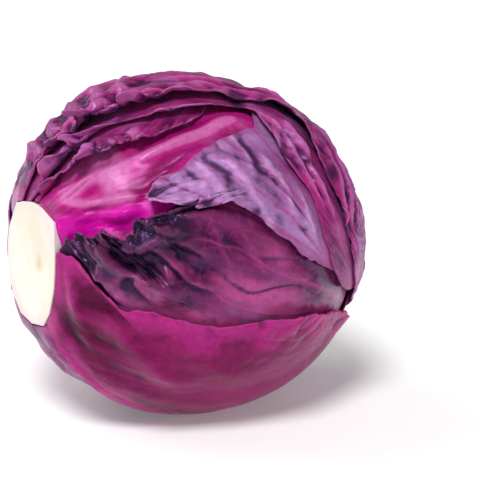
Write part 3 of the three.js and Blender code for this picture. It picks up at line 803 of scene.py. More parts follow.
        "piece": "backLeaf", "node": "leaf_back", "slot": "top_leaf", "middle": (88, -174), "seed": 71,
        "veinsFrom": (16, -176), "veinCut": 0, "wrinkle": 0.7, "columns": 340, "rows": 56, "hem": 4,
        "edgeRows": 1.3, "sink": 0.6, "crumple": 0.3, "fingers": (9, 20),
        "fan": {"height": 1.4, "perRadian": 6, "length": 50, "start": 10, "fine": 0.3},
        "outline": [
            (8, 148), (24, 146), (38, 141, 0.5, 0.2), (56, 137, 2.5, 1), (76, 133, 2.5, 1),
            (96, 133, 2, 2), (116, 138, 2.5, 2), (132, 150, 3, 2), (142, 172, 2.5, 2),
            (140, -164, 2, 1.5), (130, -144, 2, 1.5), (112, -134, 2, 1.5), (90, -131, 2, 1.5),
            (66, -133, 2, 1.5), (44, -138, 2, 1), (26, -144, 0, 1), (8, -150),
        ],
        "folds": [
            ("ridge", 1.8, 6, [(24, -176), (60, -172), (100, -170), (134, -166)]),
            ("ridge", 1.4, 6, [(60, -172), (74, 166), (92, 150)]),
            ("ridge", 1.4, 6, [(56, -172), (72, -156), (90, -142)]),
        ],
    },
    {
        "piece": "lowerFrontLeaf", "node": "leaf_lower_front", "slot": "smooth_leaf",
        "middle": (88, -42), "seed": 83, "veinsFrom": (16, -20), "veinCut": 0, "wrinkle": 0.35,
        "columns": 380, "rows": 66, "hem": 1.2, "edgeRows": 1.15, "sink": 0.4, "crumple": 0.1,
        "fingers": (10, 14),
        "fan": {"height": 0.7, "perRadian": 5, "length": 60, "start": 14, "fine": 0.3},
        "outline": [
            (10, 6), (25.9, 19.5, 0, 1), (30.4, 15.5, 0.5, 0.6), (34.9, 9.8, 0.5, 0.6),
            (38.2, 4.2, 0.5, 0.6), (40.8, -1.5, 0.5, 0.6), (43.5, -7, 0.5, 0.6), (48, -9, 0.5, 0.6),
            (54, -8.5, 0.5, 0.6), (62, -9.5, 0.5, 0.6), (74, -13, 1, 0.8), (88, -13, 1.5, 0.8),
            (104, -14, 2, 0.8), (120, -18, 2.5, 0.8), (134, -26, 2.5, 0.8), (143, -42, 2, 0.6),
            (144, -60, 2, 0.6), (134, -74, 1.5, 1), (118, -75, 1, 1), (100, -71, 0.5, 1),
            (80, -69, 0, 1), (66, -66.5, 0, 1), (57.7, -63.2, 0.5, 0.6), (52, -62, 0.5, 0.6),
            (45.3, -57.4, 0.5, 0.6), (39.1, -53.6, 0.5, 0.6), (32.9, -50.6, 0.5, 0.6),
            (27.7, -47, 0, 0.6), (20, -47, 0, 1), (8, -34),
        ],
        "folds": [
            ("ridge", 2, 3, [(27, 9), (28.9, 7.9), (30.3, -2.4), (32.7, -13.7), (38, -24)]),
            ("ridge", 2.2, 5, [(38.9, -7.6), (47.8, -19.1), (58.8, -30.7), (66.7, -39), (78, -48)]),
            ("ridge", 1, 4.5, [(28.2, -13.9), (35.5, -22.6), (41.9, -35.5), (50, -48)]),
            ("ridge", 0.9, 5, [(60, -14), (72, -24), (86, -34), (100, -44)]),
        ],
    },
]
for leaf in leaves:
    prepare(leaf)
for index, leaf in enumerate(leaves):
    edge = directionAt(leaf["axes"], wholeTurn, leaf["table"][:, 0])
    leaf["openEdge"] = survey(edge)[1][index]
print("leaf outlines ready")


# The tight inner head, whose outside is the bright leaf behind the stem
heart = {
    "columns": 432, "rows": 90,
    "rib": [(20, 33), (28.3, 30.9), (37.4, 29.9), (47.6, 29.5), (57.3, 29.7), (65.2, 30.6), (76, 30)],
    "folds": [
        ("ridge", 2.4, 4.6, [
            (20, 33), (28.3, 30.9), (37.4, 29.9), (47.6, 29.5), (57.3, 29.7), (65.2, 30.6), (76, 30)]),
        ("ridge", 2.2, 2.4, [
            (26, 58), (28.8, 52.7), (34, 45), (40, 41), (48.3, 38), (55.3, 36.6), (62.1, 35.8),
            (70, 35)]),
        ("bowl", 1.4, 1.5, [(28, 46), (33, 40), (40, 37.4), (48.9, 34.8), (61.5, 33), (68, 33)]),
        ("ridge", 2.2, 8, [(28, 58), (32.8, 53.7), (42.7, 50.2), (52.5, 47), (60.4, 45.6)]),
        ("bowl", 2, 9, [(52, 32), (62, 38), (68, 42), (76, 46), (84, 48), (92, 49)]),
        ("ridge", 1.4, 4, [(58, 54), (66, 54.4), (75.7, 54.1), (85.4, 53.5), (94.9, 55.1), (103, 57)]),
        ("ridge", 1.4, 3.4, [(60, 60), (67.8, 59.3), (77.6, 58.6), (87.8, 58.8), (98.8, 60.8)]),
        ("bowl", 3.6, 3.4, [
            (28, 25), (32, 27), (36, 29), (40.5, 31), (44, 28), (47, 25), (50, 22), (54, 25), (59, 29),
            (66, 30)]),
    ],
    "swells": ((16, 1.0, 5), (5, 0.12, 7)),     # lump size, height and seed
    "pleats": 0.9,
    "pleatsPerRadian": 9,
    "pleatWander": 20,
    "pleatLength": 30,       # degrees from the pleats' middle, like the next two
    "pleatStart": 8,
    "pleatFadeIn": 20,
    "bareSlope": 1.7,        # how soon its folds rise beyond the leaves that press it flat
    "socketGap": 0.4,
    "socketRows": 8,
    "rowPower": 1.1,         # over 1, rows lie closer near the stem
    "axes": axesAbout((16, 30)),
}
heart["foldLines"] = withLines(heart["folds"])


def heartPleats(d, p):
    # long shallow pleats that follow the leaf's ribs
    bearing, reach = bearingAndReach(heart["axes"], d)
    turn = np.radians(bearing) * heart["pleatsPerRadian"] + softNoise(p, heart["pleatWander"], 8)
    fade = smoothStep((reach - heart["pleatStart"]) / heart["pleatFadeIn"])
    return pillow(stripNoise(turn, reach / heart["pleatLength"], 9)) * fade


def heartRise(d):
    p = d * head["surfaceRadius"]
    height = foldHeight(p, heart["foldLines"])
    for size, amount, seed in heart["swells"]:
        height = height + amount * softNoise(p, size, seed)
    height = height + heart["pleats"] * heartPleats(d, p)
    return height * smoothStep(stemClearance(d) / head["leafBaseLength"])


def buildHeart():
    piece, column, row = wrappedGrid("innerHead", heart["columns"], heart["rows"])
    gap = np.array([heart["socketGap"], 0, 0])
    mouth = stemRing(heart["columns"] // len(stem["corners"]))
    middle = mouth.mean(axis=0)
    outward = mouth - middle
    mouth = mouth + outward / lengthOf(outward)[:, None] * heart["socketGap"]
    index = np.round(column * heart["columns"]).astype(int) % len(mouth)
    lipRing = mouth[index]
    start = lipRing / lengthOf(lipRing)[:, None]
    fromStem = np.degrees(np.arccos(-start[:, 0]))
    around = np.degrees(np.arctan2(start[:, 2], -start[:, 1]))
    socketRows = heart["socketRows"] / heart["rows"]
    t = np.clip((row - socketRows) / (1 - socketRows), 0, 1) ** heart["rowPower"]
    d = directionOf(fromStem + (180 - fromStem) * t, around)
    found, free, bare = survey(d)
    height = heartRise(d) * smoothStep(bare * heart["bareSlope"])
    flare = stemFlare(d, found, free)
    points = d * (innerRadius(d) + flare + height)[:, None]

    # the first rows line the socket that the stem sits in: its floor, then its wall
    floor = middle * stem["coreTaper"] + gap
    wall = lipRing * stem["coreTaper"] + gap
    lip = d * (innerRadius(d) + flare)[:, None]
    down = np.clip(row / socketRows, 0, 1)[:, None]
    onFloor = floor + (wall - floor) * down * 2
    inSocket = np.where(down < 0.5, onFloor, wall + (lip - wall) * (down * 2 - 1))
    points = np.where((row < socketRows)[:, None], inSocket, points)
    writePoints(piece, points)
    ribAway = alongLine(d * head["surfaceRadius"], lineOver(heart["rib"]))[0]
    writeNumbers(piece, "ribDistance", np.abs(ribAway))
    # the crest attribute is the mask for painted shade in the folds' hollows and painted highlight on their
    # crests
    writeNumbers(piece, "crest", paintedFoldShading(height, column, row, heart["columns"], heart["rows"]))
    bearing, reach = bearingAndReach(heart["axes"], d)
    writeVeinMap(piece, np.radians(bearing), np.radians(reach))
    closeSeams(piece)
    return piece


def buildStem():
    corners = stemRing(stem["edgeSteps"])
    count = len(corners)
    bpy.ops.object.select_all(action='DESELECT')
    bpy.ops.mesh.primitive_cylinder_add(vertices=count, radius=1, depth=2, end_fill_type='NGON',
                                        location=(0, 0, 0))
    piece = bpy.context.active_object
    piece.name = "cutStem"
    co = readPoints(piece)
    turn = np.round(np.arctan2(co[:, 1], co[:, 0]) / (2 * math.pi) * count).astype(int) % count
    ring = corners[turn]
    writePoints(piece, np.where((co[:, 2] > 0)[:, None], ring, ring * stem["coreTaper"]))
    bpy.ops.object.mode_set(mode='EDIT')
    bpy.ops.mesh.select_mode(type='FACE')
    bpy.ops.mesh.select_all(action='DESELECT')
    bpy.ops.object.mode_set(mode='OBJECT')
    face = min((f for f in piece.data.polygons if len(f.vertices) == count), key=lambda f: f.center.x)
    face.select = True
    middle = tuple(face.center)
    bpy.ops.object.mode_set(mode='EDIT')
    for part in stem["faceRings"]:
        bpy.ops.mesh.extrude_region_move()
        bpy.ops.transform.resize(value=(part, part, part), center_override=middle)
    bpy.ops.mesh.poke()
    bpy.ops.object.mode_set(mode='OBJECT')
    editMesh(bpy.ops.mesh.normals_make_consistent, inside=False)
    applyModifier(piece, 'BEVEL', width=stem["cornerRounding"] / 1000, segments=3, limit_method='ANGLE',
                  angle_limit=math.radians(stem["sharpAngle"]))
    dishFace(piece)
    return piece


def dishFace(piece):
    # the cut face is slightly hollow, as it dries
    p = (readPoints(piece) - np.array(headCentre)) * 1000
    plane = -stem["faceDistance"] - stem["faceTilt"] * (p[:, 1] - stem["centreY"])
    onFace = smoothStep(1 - np.abs(p[:, 0] - plane) / stem["faceDepth"])
    away = np.hypot(p[:, 1] - stem["centreY"], p[:, 2] - stem["centreZ"])
    p[:, 0] += onFace * stem["dish"] * smoothStep(1 - away / stem["dishRadius"])
    writePoints(piece, p)
    bearing = np.arctan2(p[:, 2] - stem["centreZ"], p[:, 1] - stem["centreY"])
    writeNumbers(piece, "fromCore", away)
    writeVeinMap(piece, bearing, away)


def addNode(tree, kind, **values):
    node = tree.nodes.new(kind)
    for key, value in values.items():
        setattr(node, key, value)
    return node


def feed(tree, socket, value):
    # a link where the value is another node's output, and otherwise the socket's own value
    if isinstance(value, bpy.types.NodeSocket):
        tree.links.new(value, socket)
    else:
        socket.default_value = value


def calc(tree, operation, a, b=0.0, clamp=False):
    node = addNode(tree, 'ShaderNodeMath', operation=operation, use_clamp=clamp)
    feed(tree, node.inputs[0], a)
    feed(tree, node.inputs[1], b)
    return node.outputs[0]


def slide(tree, value, low, high, toLow=0.0, toHigh=1.0):
    node = addNode(tree, 'ShaderNodeMapRange', interpolation_type='SMOOTHSTEP')
    labels = ('Value', 'From Min', 'From Max', 'To Min', 'To Max')
    for label, given in zip(labels, (value, low, high, toLow, toHigh)):
        feed(tree, node.inputs[label], given)
    return node.outputs['Result']


def blendColours(tree, factor, a, b, blend='MIX'):
    node = addNode(tree, 'ShaderNodeMix', data_type='RGBA', blend_type=blend)
    feed(tree, node.inputs[0], factor)
    feed(tree, node.inputs[6], a)
    feed(tree, node.inputs[7], b)
    return node.outputs[2]


def cloud(tree, vector, scale, detail=3.0, roughness=0.5):
    node = addNode(tree, 'ShaderNodeTexNoise')
    labels = ('Vector', 'Scale', 'Detail', 'Roughness')
    for label, given in zip(labels, (vector, scale, detail, roughness)):
        feed(tree, node.inputs[label], given)
    return node.outputs['Fac']


def times(tree, a, b):
    return calc(tree, 'MULTIPLY', a, b)


def plus(tree, a, b):
    return calc(tree, 'ADD', a, b)


def colour(screen):
    # a colour as seen on screen, such as 8a3060, as linear light
    parts = [int(screen[i:i + 2], 16) / 255 for i in (0, 2, 4)]
    return tuple(p / 12.92 if p <= 0.04045 else ((p + 0.055) / 1.055) ** 2.4 for p in parts) + (1.0,)


def newGroup(name, inputs, outputs):
    group = bpy.data.node_groups.new(name, 'ShaderNodeTree')
    for label, value in inputs.items():
        kind = 'NodeSocketFloat' if isinstance(value, float) else 'NodeSocketVector'
        socket = group.interface.new_socket(name=label, in_out='INPUT', socket_type=kind)
        socket.default_value = value
    for label in outputs:
        group.interface.new_socket(name=label, in_out='OUTPUT', socket_type='NodeSocketFloat')
    start = addNode(group, 'NodeGroupInput').outputs
    end = addNode(group, 'NodeGroupOutput').inputs
    return group, start, end


def useGroup(tree, group, **values):
    node = addNode(tree, 'ShaderNodeGroup', node_tree=group)
    for label, value in values.items():
        feed(tree, node.inputs[label], value)
    return node.outputs


def attribute(tree, name):
    return addNode(tree, 'ShaderNodeAttribute', attribute_name=name).outputs['Fac']


def cellEdges(tree, vector, scale):
    node = addNode(tree, 'ShaderNodeTexVoronoi', feature='DISTANCE_TO_EDGE')
    feed(tree, node.inputs['Vector'], vector)
    feed(tree, node.inputs['Scale'], scale)
    return node.outputs['Distance']


def bumpy(tree, shader, height, strength, distance):
    bump = addNode(tree, 'ShaderNodeBump')
    for label, given in (('Height', height), ('Strength', strength), ('Distance', distance)):
        feed(tree, bump.inputs[label], given)
    tree.links.new(bump.outputs[0], shader.inputs['Normal'])


veinShape = {
    "wanderScale": 28.0, "wander": 0.8,    # how the ribs stray from their rays
    "bendScale": 90.0, "bend": 0.006,      # how the network's cells are pulled about, in metres
    "fineCells": 2.7, "fineStrength": 0.45,
    "coarseLine": 0.055, "fineLine": 0.07, "quilt": 0.4,
}
bloomShape = {
    "fineScale": 260.0, "largeShare": 0.92, "smallShare": 0.08,
    "bareFrom": 0.8, "coverShift": 0.6, "fadeBelow": 0.1, "fadeAbove": 0.12,
}
rimUnevenness = {"scale": 70.0, "noise": (0.3, 0.7), "width": (0.35, 1.3)}    # of its own width


def veinGroup():
    # ribs that fan out over the vein map, and a finer network of veins between them
    inputs = {"Place": (0, 0, 0), "Fan": (0, 0, 0), "Ribs": 4.0, "Width": 0.9, "Mesh": 120.0}
    group, start, end = newGroup("leafVeins", inputs, ["Rib", "Network", "Quilt"])
    split = addNode(group, 'ShaderNodeSeparateXYZ')
    feed(group, split.inputs[0], start["Fan"])
    wander = times(group, cloud(group, start["Place"], veinShape["wanderScale"], 2.0), veinShape["wander"])
    turn = plus(group, times(group, split.outputs['X'], start["Ribs"]), wander)
    offLine = calc(group, 'ABSOLUTE', calc(group, 'SUBTRACT', calc(group, 'FRACT', turn), 0.5))
    radius = times(group, split.outputs['Y'], head["surfaceRadius"])
    millimetres = times(group, calc(group, 'DIVIDE', offLine, start["Ribs"]), radius)
    feed(group, end["Rib"], slide(group, millimetres, start["Width"], 0.0))
    bent = addNode(group, 'ShaderNodeTexNoise')
    feed(group, bent.inputs['Vector'], start["Place"])
    feed(group, bent.inputs['Scale'], veinShape["bendScale"])
    push = addNode(group, 'ShaderNodeVectorMath', operation='SCALE')
    feed(group, push.inputs[0], bent.outputs['Color'])
    feed(group, push.inputs['Scale'], veinShape["bend"])
    moved = addNode(group, 'ShaderNodeVectorMath', operation='ADD')
    feed(group, moved.inputs[0], start["Place"])
    feed(group, moved.inputs[1], push.outputs[0])
    coarse = cellEdges(group, moved.outputs[0], start["Mesh"])
    fine = cellEdges(group, moved.outputs[0], times(group, start["Mesh"], veinShape["fineCells"]))
    coarseLines = slide(group, coarse, veinShape["coarseLine"], 0.0)
    fineLines = times(group, slide(group, fine, veinShape["fineLine"], 0.0), veinShape["fineStrength"])
    feed(group, end["Network"], calc(group, 'MAXIMUM', coarseLines, fineLines))
    feed(group, end["Quilt"], slide(group, coarse, 0.0, veinShape["quilt"]))
    return group


def bloomGroup():
    # where the wax lies: thick in patches, and rubbed off in others
    inputs = {"Place": (0, 0, 0), "Patch": 30.0, "Cover": 0.5}
    group, start, end = newGroup("waxBloom", inputs, ["Bloom"])
    large = cloud(group, start["Place"], start["Patch"], 3.0, 0.6)
    small = cloud(group, start["Place"], bloomShape["fineScale"], 4.0, 0.7)
    largeShare = times(group, large, bloomShape["largeShare"])
    mixed = plus(group, largeShare, times(group, small, bloomShape["smallShare"]))
    cover = times(group, start["Cover"], bloomShape["coverShift"])
    threshold = calc(group, 'SUBTRACT', bloomShape["bareFrom"], cover)
    low = calc(group, 'SUBTRACT', threshold, bloomShape["fadeBelow"])
    high = plus(group, threshold, bloomShape["fadeAbove"])
    feed(group, end["Bloom"], slide(group, mixed, low, high))
    return group


def edgeGroup():
    # the pale rim of a blade, and the band just inside it where the looks put painted light: a painted
    # glow, as of light through the thin margin, and on the dark leaf painted shade
    inputs = {"Place": (0, 0, 0), "Distance": 20.0, "Rim": 0.7, "Glow": 5.0}
    group, start, end = newGroup("leafEdge", inputs, ["Rim", "Glow"])
    noise = cloud(group, start["Place"], rimUnevenness["scale"], 3.0)
    uneven = slide(group, noise, *rimUnevenness["noise"], *rimUnevenness["width"])
    for part in ("Rim", "Glow"):
        feed(group, end[part], slide(group, start["Distance"], times(group, start[part], uneven), 0.0))
    return group


leafVeins = veinGroup()
waxBloom = bloomGroup()
leafEdge = edgeGroup()


def newMaterial(name):
    material = bpy.data.materials.new(name)
    material.use_nodes = True
    tree = material.node_tree
    tree.nodes.clear()
    shader = addNode(tree, 'ShaderNodeBsdfPrincipled')
    output = addNode(tree, 'ShaderNodeOutputMaterial')
    tree.links.new(shader.outputs[0], output.inputs[0])
    place = addNode(tree, 'ShaderNodeTexCoord').outputs['Object']
    return material, tree, shader, place


def leafMaterial(name, look):
    material, tree, shader, place = newMaterial(name)
    fan = addNode(tree, 'ShaderNodeUVMap', uv_map="veins").outputs['UV']
    veins = useGroup(tree, leafVeins, Place=place, Fan=fan, Ribs=look["ribs"], Width=look["ribWidth"],
                     Mesh=look["mesh"])
    wax = useGroup(tree, waxBloom, Place=place, Patch=look["patch"], Cover=look["bloomCover"])
    bloom = wax["Bloom"]
    streaks = addNode(tree, 'ShaderNodeVectorMath', operation='MULTIPLY')
    feed(tree, streaks.inputs[0], fan)
    feed(tree, streaks.inputs[1], (look["streaks"], look["streakLength"], 1.0))

    def tinted(body, mask, part, shade):
        return blendColours(tree, times(tree, mask, look[part]), body, colour(look[shade]))

    def shaded(body, heights, part, shade):
        share = slide(tree, crest, *look[heights], 0.0, look[part])
        return blendColours(tree, share, body, colour(look[shade]))

    blotches = cloud(tree, place, look["toneSize"], 3.0, 0.45)
    mottle = times(tree, plus(tree, blotches, cloud(tree, streaks.outputs[0], 1.0, 3.0, 0.5)), 0.5)
    tone = slide(tree, mottle, *look["toneRange"])
    body = blendColours(tree, tone, colour(look["dark"]), colour(look["light"]))
    body = tinted(body, veins["Network"], "networkTint", "vein")
    body = tinted(body, bloom, "bloomTint", "bloom")
    body = tinted(body, veins["Rib"], "ribTint", "vein")
    if look["edged"]:
        distance = attribute(tree, "edgeDistance")
        edge = useGroup(tree, leafEdge, Place=place, Distance=distance, Rim=look["rimWidth"],
                        Glow=look["paintedLightDepth"])
        # the band inside the edge is painted light: a brighter painted glow, as of light through the thin
        # margin, on most leaves, and a near-black painted shade over the dark leaf's ruffles
        band = edge["Glow"]
        if look["paintedShadeWhereRuffled"]:
            band = times(tree, band, attribute(tree, "ruffled"))
        body = tinted(body, band, "bandTint", "band")
        body = tinted(body, edge["Rim"], "rimTint", "rim")
    # painted highlight on the folds' crests, and painted shade darkening their hollows
    crest = attribute(tree, "crest")
    body = shaded(body, "crestHighlightRange", "crestHighlightTint", "crest")
    body = shaded(body, "hollowShadeRange", "hollowShadeTint", "hollowShade")
    # the inner leaf's band colour is the midrib's own colour, in a band along its rib line
    if not look["edged"]:
        midrib = slide(tree, attribute(tree, "ribDistance"), *look["midribRange"])
        body = tinted(body, midrib, "bandTint", "band")
    specks = cloud(tree, place, look["speckle"], 3.0, 0.6)
    speckle = slide(tree, specks, *noiseRange, *look["speckleShade"])
    feed(tree, shader.inputs['Base Color'], blendColours(tree, 1.0, body, speckle, 'MULTIPLY'))
    smoother, rougher = [look["roughness"] + change for change in look["glossSpread"]]
    gloss = slide(tree, cloud(tree, place, look["glossPatch"], 3.0), *noiseRange, smoother, rougher)
    feed(tree, shader.inputs['Roughness'], plus(tree, gloss, times(tree, bloom, look["bloomRoughness"])))
    height = times(tree, veins["Rib"], look["ribHeight"])
    height = plus(tree, height, times(tree, veins["Quilt"], look["quiltHeight"]))
    pores = cloud(tree, place, look["pores"], 4.0, 0.6)
    height = plus(tree, height, times(tree, pores, look["poreHeight"]))
    bumpy(tree, shader, height, look["bumpStrength"], look["bumpDistance"])
    shader.inputs['Specular IOR Level'].default_value = look["specular"]
    shader.inputs['Specular Tint'].default_value = colour(look["gleam"])
    shader.inputs['Sheen Weight'].default_value = look["sheenAmount"]
    shader.inputs['Sheen Roughness'].default_value = look["sheenRoughness"]
    shader.inputs['Sheen Tint'].default_value = colour(look["sheen"])
    return material


# One look for each kind of leaf surface. Colours are as seen on screen; ribs are per radian of
# the fan, widths and depths are millimetres, mesh and patch are cells per metre.
# The crest colours are painted highlights on the folds' crests and the hollow colours painted shade in
# their hollows; the band colour inside the edge is a painted glow, on the dark leaf a painted shade over
# its ruffles, and on the inner leaf the midrib's own colour.
sharedLook = {
    "networkTint": 0.2, "bloomCover": 0.35, "paintedShadeWhereRuffled": False, "rimWidth": 0.4, "edged": True,
    "streakLength": 1.6, "toneRange": (0.36, 0.64), "speckle": 420, "midribRange": (8, 2),
    "glossPatch": 55, "bloomRoughness": 0.12, "ribHeight": 0.35, "quiltHeight": 0.4, "pores": 240,
    "poreHeight": 0.35, "bumpDistance": 0.0008, "sheenRoughness": 0.4, "crestHighlightRange": (0.05, 0.85),
    "hollowShadeRange": (0.0, -0.7), "speckleShade": (0.85, 1.08), "glossSpread": (-0.07, 0.08),
}
noiseRange = (0.3, 0.7)     # where most of a noise lies
leafLooks = {
    "topLeaf": {
        **sharedLook,
        "dark": "440430", "light": "b02878", "vein": "b43890", "bloom": "9a70b8", "band": "9c1466",
        "rim": "b870a4", "hollowShade": "2c0430", "hollowShadeTint": 0.86, "crest": "c070b0", "crestHighlightTint": 0.5,
        "sheen": "a8a0f0", "sheenAmount": 0.2, "ribs": 5, "ribWidth": 1.4, "mesh": 105, "patch": 26,
        "toneSize": 24, "streaks": 7, "ribTint": 0.35, "bloomTint": 0.4, "bandTint": 0.5,
        "paintedLightDepth": 6, "rimTint": 0.2, "roughness": 0.27, "bumpStrength": 0.5, "gleam": "c8a0ec",
        "specular": 0.5,
    },
    # its band is a near-black painted shade over the ruffled part, far in from the edge
    "darkLeaf": {
        **sharedLook,
        "dark": "520a3c", "light": "ac427c", "vein": "b43c80", "bloom": "9068a8", "band": "1c0618",
        "rim": "98507c", "hollowShade": "14041c", "hollowShadeTint": 0.9, "crest": "a84c84", "crestHighlightTint": 0.2,
        "sheen": "a098e8", "sheenAmount": 0.08, "ribs": 4, "ribWidth": 1.5, "mesh": 110, "patch": 30,
        "toneSize": 26, "streaks": 7, "ribTint": 0.4, "bloomTint": 0.3, "bandTint": 0.97,
        "paintedLightDepth": 90, "paintedShadeWhereRuffled": True, "rimTint": 0.3, "roughness": 0.26,
        "bumpStrength": 0.3, "gleam": "b898f0", "specular": 0.6,
    },
    "waxyLeaf": {
        **sharedLook,
        "dark": "681458", "light": "a0408c", "vein": "ac1870", "bloom": "b48cc4", "band": "901c6c",
        "rim": "b070a0", "hollowShade": "2c0434", "hollowShadeTint": 0.92, "crest": "d4a0d4", "crestHighlightTint": 0.55,
        "sheen": "b0a0e8", "sheenAmount": 0.2, "ribs": 3.6, "ribWidth": 1.4, "mesh": 110, "patch": 16,
        "toneSize": 14, "streaks": 5, "ribTint": 0.5, "bloomTint": 0.6, "bloomCover": 0.65,
        "bandTint": 0.5, "paintedLightDepth": 5, "rimTint": 0.2, "roughness": 0.33, "bumpStrength": 0.4,
        "gleam": "d0b0f0", "specular": 0.6,
    },
    "smoothLeaf": {
        **sharedLook,
        "dark": "4c0428", "light": "8c145a", "vein": "982064", "bloom": "782c6c", "band": "b42880",
        "rim": "c84c90", "hollowShade": "280416", "hollowShadeTint": 0.75, "crest": "ac3c84", "crestHighlightTint": 0.3,
        "sheen": "c880d8", "sheenAmount": 0.08, "ribs": 2.6, "ribWidth": 1, "mesh": 90, "patch": 24,
        "toneSize": 9, "streaks": 4, "networkTint": 0.08, "ribTint": 0.12, "bloomTint": 0.3,
        "bloomCover": 0.3, "bandTint": 0.85, "paintedLightDepth": 24, "rimTint": 0.3, "roughness": 0.22,
        "bumpStrength": 0.14, "gleam": "e0a0e0", "specular": 0.22,
    },
    "innerLeaf": {
        **sharedLook,
        "dark": "9c0060", "light": "bc2488", "vein": "c84ea2", "bloom": "dc98cc", "band": "d400a4",
        "hollowShade": "6c0044", "hollowShadeTint": 0.65, "crest": "dc88c4", "crestHighlightTint": 0.42, "sheen": "e8b0e8",
        "sheenAmount": 0, "ribs": 5, "ribWidth": 0.9, "mesh": 100, "patch": 34, "toneSize": 30,
        "streaks": 11, "networkTint": 0.05, "ribTint": 0.1, "bloomTint": 0.5, "bandTint": 0.95,
        "roughness": 0.28, "bumpStrength": 0.2, "gleam": "f0a8e8", "specular": 0.35, "edged": False,
    },
}
stemLook = {
    "flesh": "ece2cf", "pale": "f4efe4", "tan": "dcc48a", "skin": "e8d0dc",
    "tanY": -14, "tanZ": 2, "tanSize": 9, "tanTint": 0.75, "tanBreakup": 120,
    "tanWander": 0.006, "tanFull": 0.002, "scatter": (0.006, 0.004, 0.003),    # in metres
    "skinRange": (21, 27), "skinTint": 0.5, "roughness": 0.5, "blotches": 45, "fibres": 700,
    "fibreHeight": 0.3, "knifeSteps": 130, "bumpStrength": 0.5, "bumpDistance": 0.0005,
    "glowThrough": 0.08, "roughSpread": 0.1,
}


def stemMaterial():
    look = stemLook
    material, tree, shader, place = newMaterial("stemFlesh")
    blotch = slide(tree, cloud(tree, place, look["blotches"], 3.0), 0.35, 0.65)
    body = blendColours(tree, blotch, colour(look["flesh"]), colour(look["pale"]))
    split = addNode(tree, 'ShaderNodeSeparateXYZ')
    feed(tree, split.inputs[0], place)
    offY = calc(tree, 'SUBTRACT', split.outputs['Y'], headCentre[1] + look["tanY"] / 1000)
    offZ = calc(tree, 'SUBTRACT', split.outputs['Z'], headCentre[2] + look["tanZ"] / 1000)
    away = calc(tree, 'SQRT', plus(tree, times(tree, offY, offY), times(tree, offZ, offZ)))
    breakup = cloud(tree, place, look["tanBreakup"], 3.0)
    patchy = plus(tree, away, times(tree, breakup, look["tanWander"]))
    tanSpot = slide(tree, patchy, look["tanSize"] / 1000, look["tanFull"])
    body = blendColours(tree, times(tree, tanSpot, look["tanTint"]), body, colour(look["tan"]))
    skin = slide(tree, attribute(tree, "fromCore"), *look["skinRange"])
    body = blendColours(tree, times(tree, skin, look["skinTint"]), body, colour(look["skin"]))
    feed(tree, shader.inputs['Base Color'], body)
    fibres = cloud(tree, place, look["fibres"], 3.0, 0.6)
    steps = cloud(tree, place, look["knifeSteps"], 2.0, 0.4)
    rough = look["roughness"]
    gloss = slide(tree, steps, *noiseRange, rough - look["roughSpread"], rough + look["roughSpread"])
    feed(tree, shader.inputs['Roughness'], gloss)
    height = plus(tree, times(tree, fibres, look["fibreHeight"]), steps)
    bumpy(tree, shader, height, look["bumpStrength"], look["bumpDistance"])
    shader.inputs['Subsurface Weight'].default_value = look["glowThrough"]
    shader.inputs['Subsurface Radius'].default_value = look["scatter"]
    return material


surfaces = {name: leafMaterial(name, look) for name, look in leafLooks.items()}
slotSurface = {
    "top_leaf": "topLeaf", "dark_leaf": "darkLeaf", "waxy_leaf": "waxyLeaf", "smooth_leaf": "smoothLeaf",
}
print("materials ready")

finishPiece(buildStem(), "stem", stemMaterial())
finishPiece(buildHeart(), "inner_head", surfaces["innerLeaf"])
for index, leaf in enumerate(leaves):
    finishPiece(buildLeaf(index), leaf["node"], surfaces[slotSurface[leaf["slot"]]])

studio = {
    "azimuth": -22, "elevation": 15, "distance": 0.9, "viewWidth": 0.2193,
    "aimRight": 0.0294, "aimUp": -0.0035,
    "sensorWidth": 36, "floorSize": 30, "floorRoughness": 0.8,
    "skyStrength": 0.26, "floorGrey": 0.9, "floorMottle": 0.01, "floorGlow": 0.16,
    "suns": [
        # name, direction it comes from, softness in degrees, strength
        ("keySun", (-0.5, -0.65, 1.15), 20, 2.55),
        ("fillSun", (0.7, -0.8, 0.5), 50, 0.25),
        ("rimSun", (-0.6, 0.6, 0.8), 40, 0.9),
    ],
}


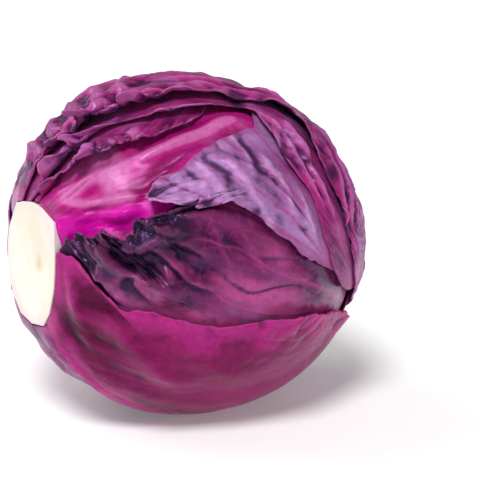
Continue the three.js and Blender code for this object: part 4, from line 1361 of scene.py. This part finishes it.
def placeCamera():
    azimuth = math.radians(studio["azimuth"])
    elevation = math.radians(studio["elevation"])
    level = math.cos(elevation)
    back = Vector((math.sin(azimuth) * level, -math.cos(azimuth) * level, math.sin(elevation)))
    right = Vector((math.cos(azimuth), math.sin(azimuth), 0))
    aim = headCentre + right * studio["aimRight"] + back.cross(right) * studio["aimUp"]
    spot = headCentre + back * studio["distance"]
    bpy.ops.object.camera_add(location=spot, rotation=(aim - spot).to_track_quat('-Z', 'Y').to_euler())
    camera = bpy.context.active_object
    camera.name = "photoCamera"
    camera.data.sensor_width = studio["sensorWidth"]
    camera.data.lens = studio["sensorWidth"] * studio["distance"] / studio["viewWidth"]
    bpy.context.scene.camera = camera


def hangSuns():
    for name, place, softness, strength in studio["suns"]:
        turn = (-Vector(place)).to_track_quat('-Z', 'Y').to_euler()
        bpy.ops.object.light_add(type='SUN', location=headCentre + Vector(place), rotation=turn)
        sun = bpy.context.active_object
        sun.name = name
        sun.data.angle = math.radians(softness)
        sun.data.energy = strength


def layFloor():
    bpy.ops.object.select_all(action='DESELECT')
    bpy.ops.mesh.primitive_plane_add(size=studio["floorSize"], location=(0, 0, 0))
    floor = bpy.context.active_object
    floor.name = "paleFloor"
    material, tree, shader, place = newMaterial("paleFloor")
    palest = studio["floorGrey"]
    grey = slide(tree, cloud(tree, place, 3.0), *noiseRange, palest - studio["floorMottle"], palest)
    feed(tree, shader.inputs['Base Color'], grey)
    shader.inputs['Roughness'].default_value = studio["floorRoughness"]
    shader.inputs['Emission Color'].default_value = (1, 1, 1, 1)
    shader.inputs['Emission Strength'].default_value = studio["floorGlow"]
    floor.data.materials.append(material)


def lightSky():
    world = bpy.data.worlds.new("studioSky")
    bpy.context.scene.world = world
    world.use_nodes = True
    background = world.node_tree.nodes['Background']
    background.inputs['Color'].default_value = (1, 1, 1, 1)
    background.inputs['Strength'].default_value = studio["skyStrength"]


placeCamera()
hangSuns()
layFloor()
lightSky()
bpy.context.scene.view_settings.view_transform = 'Standard'
print("studio ready")
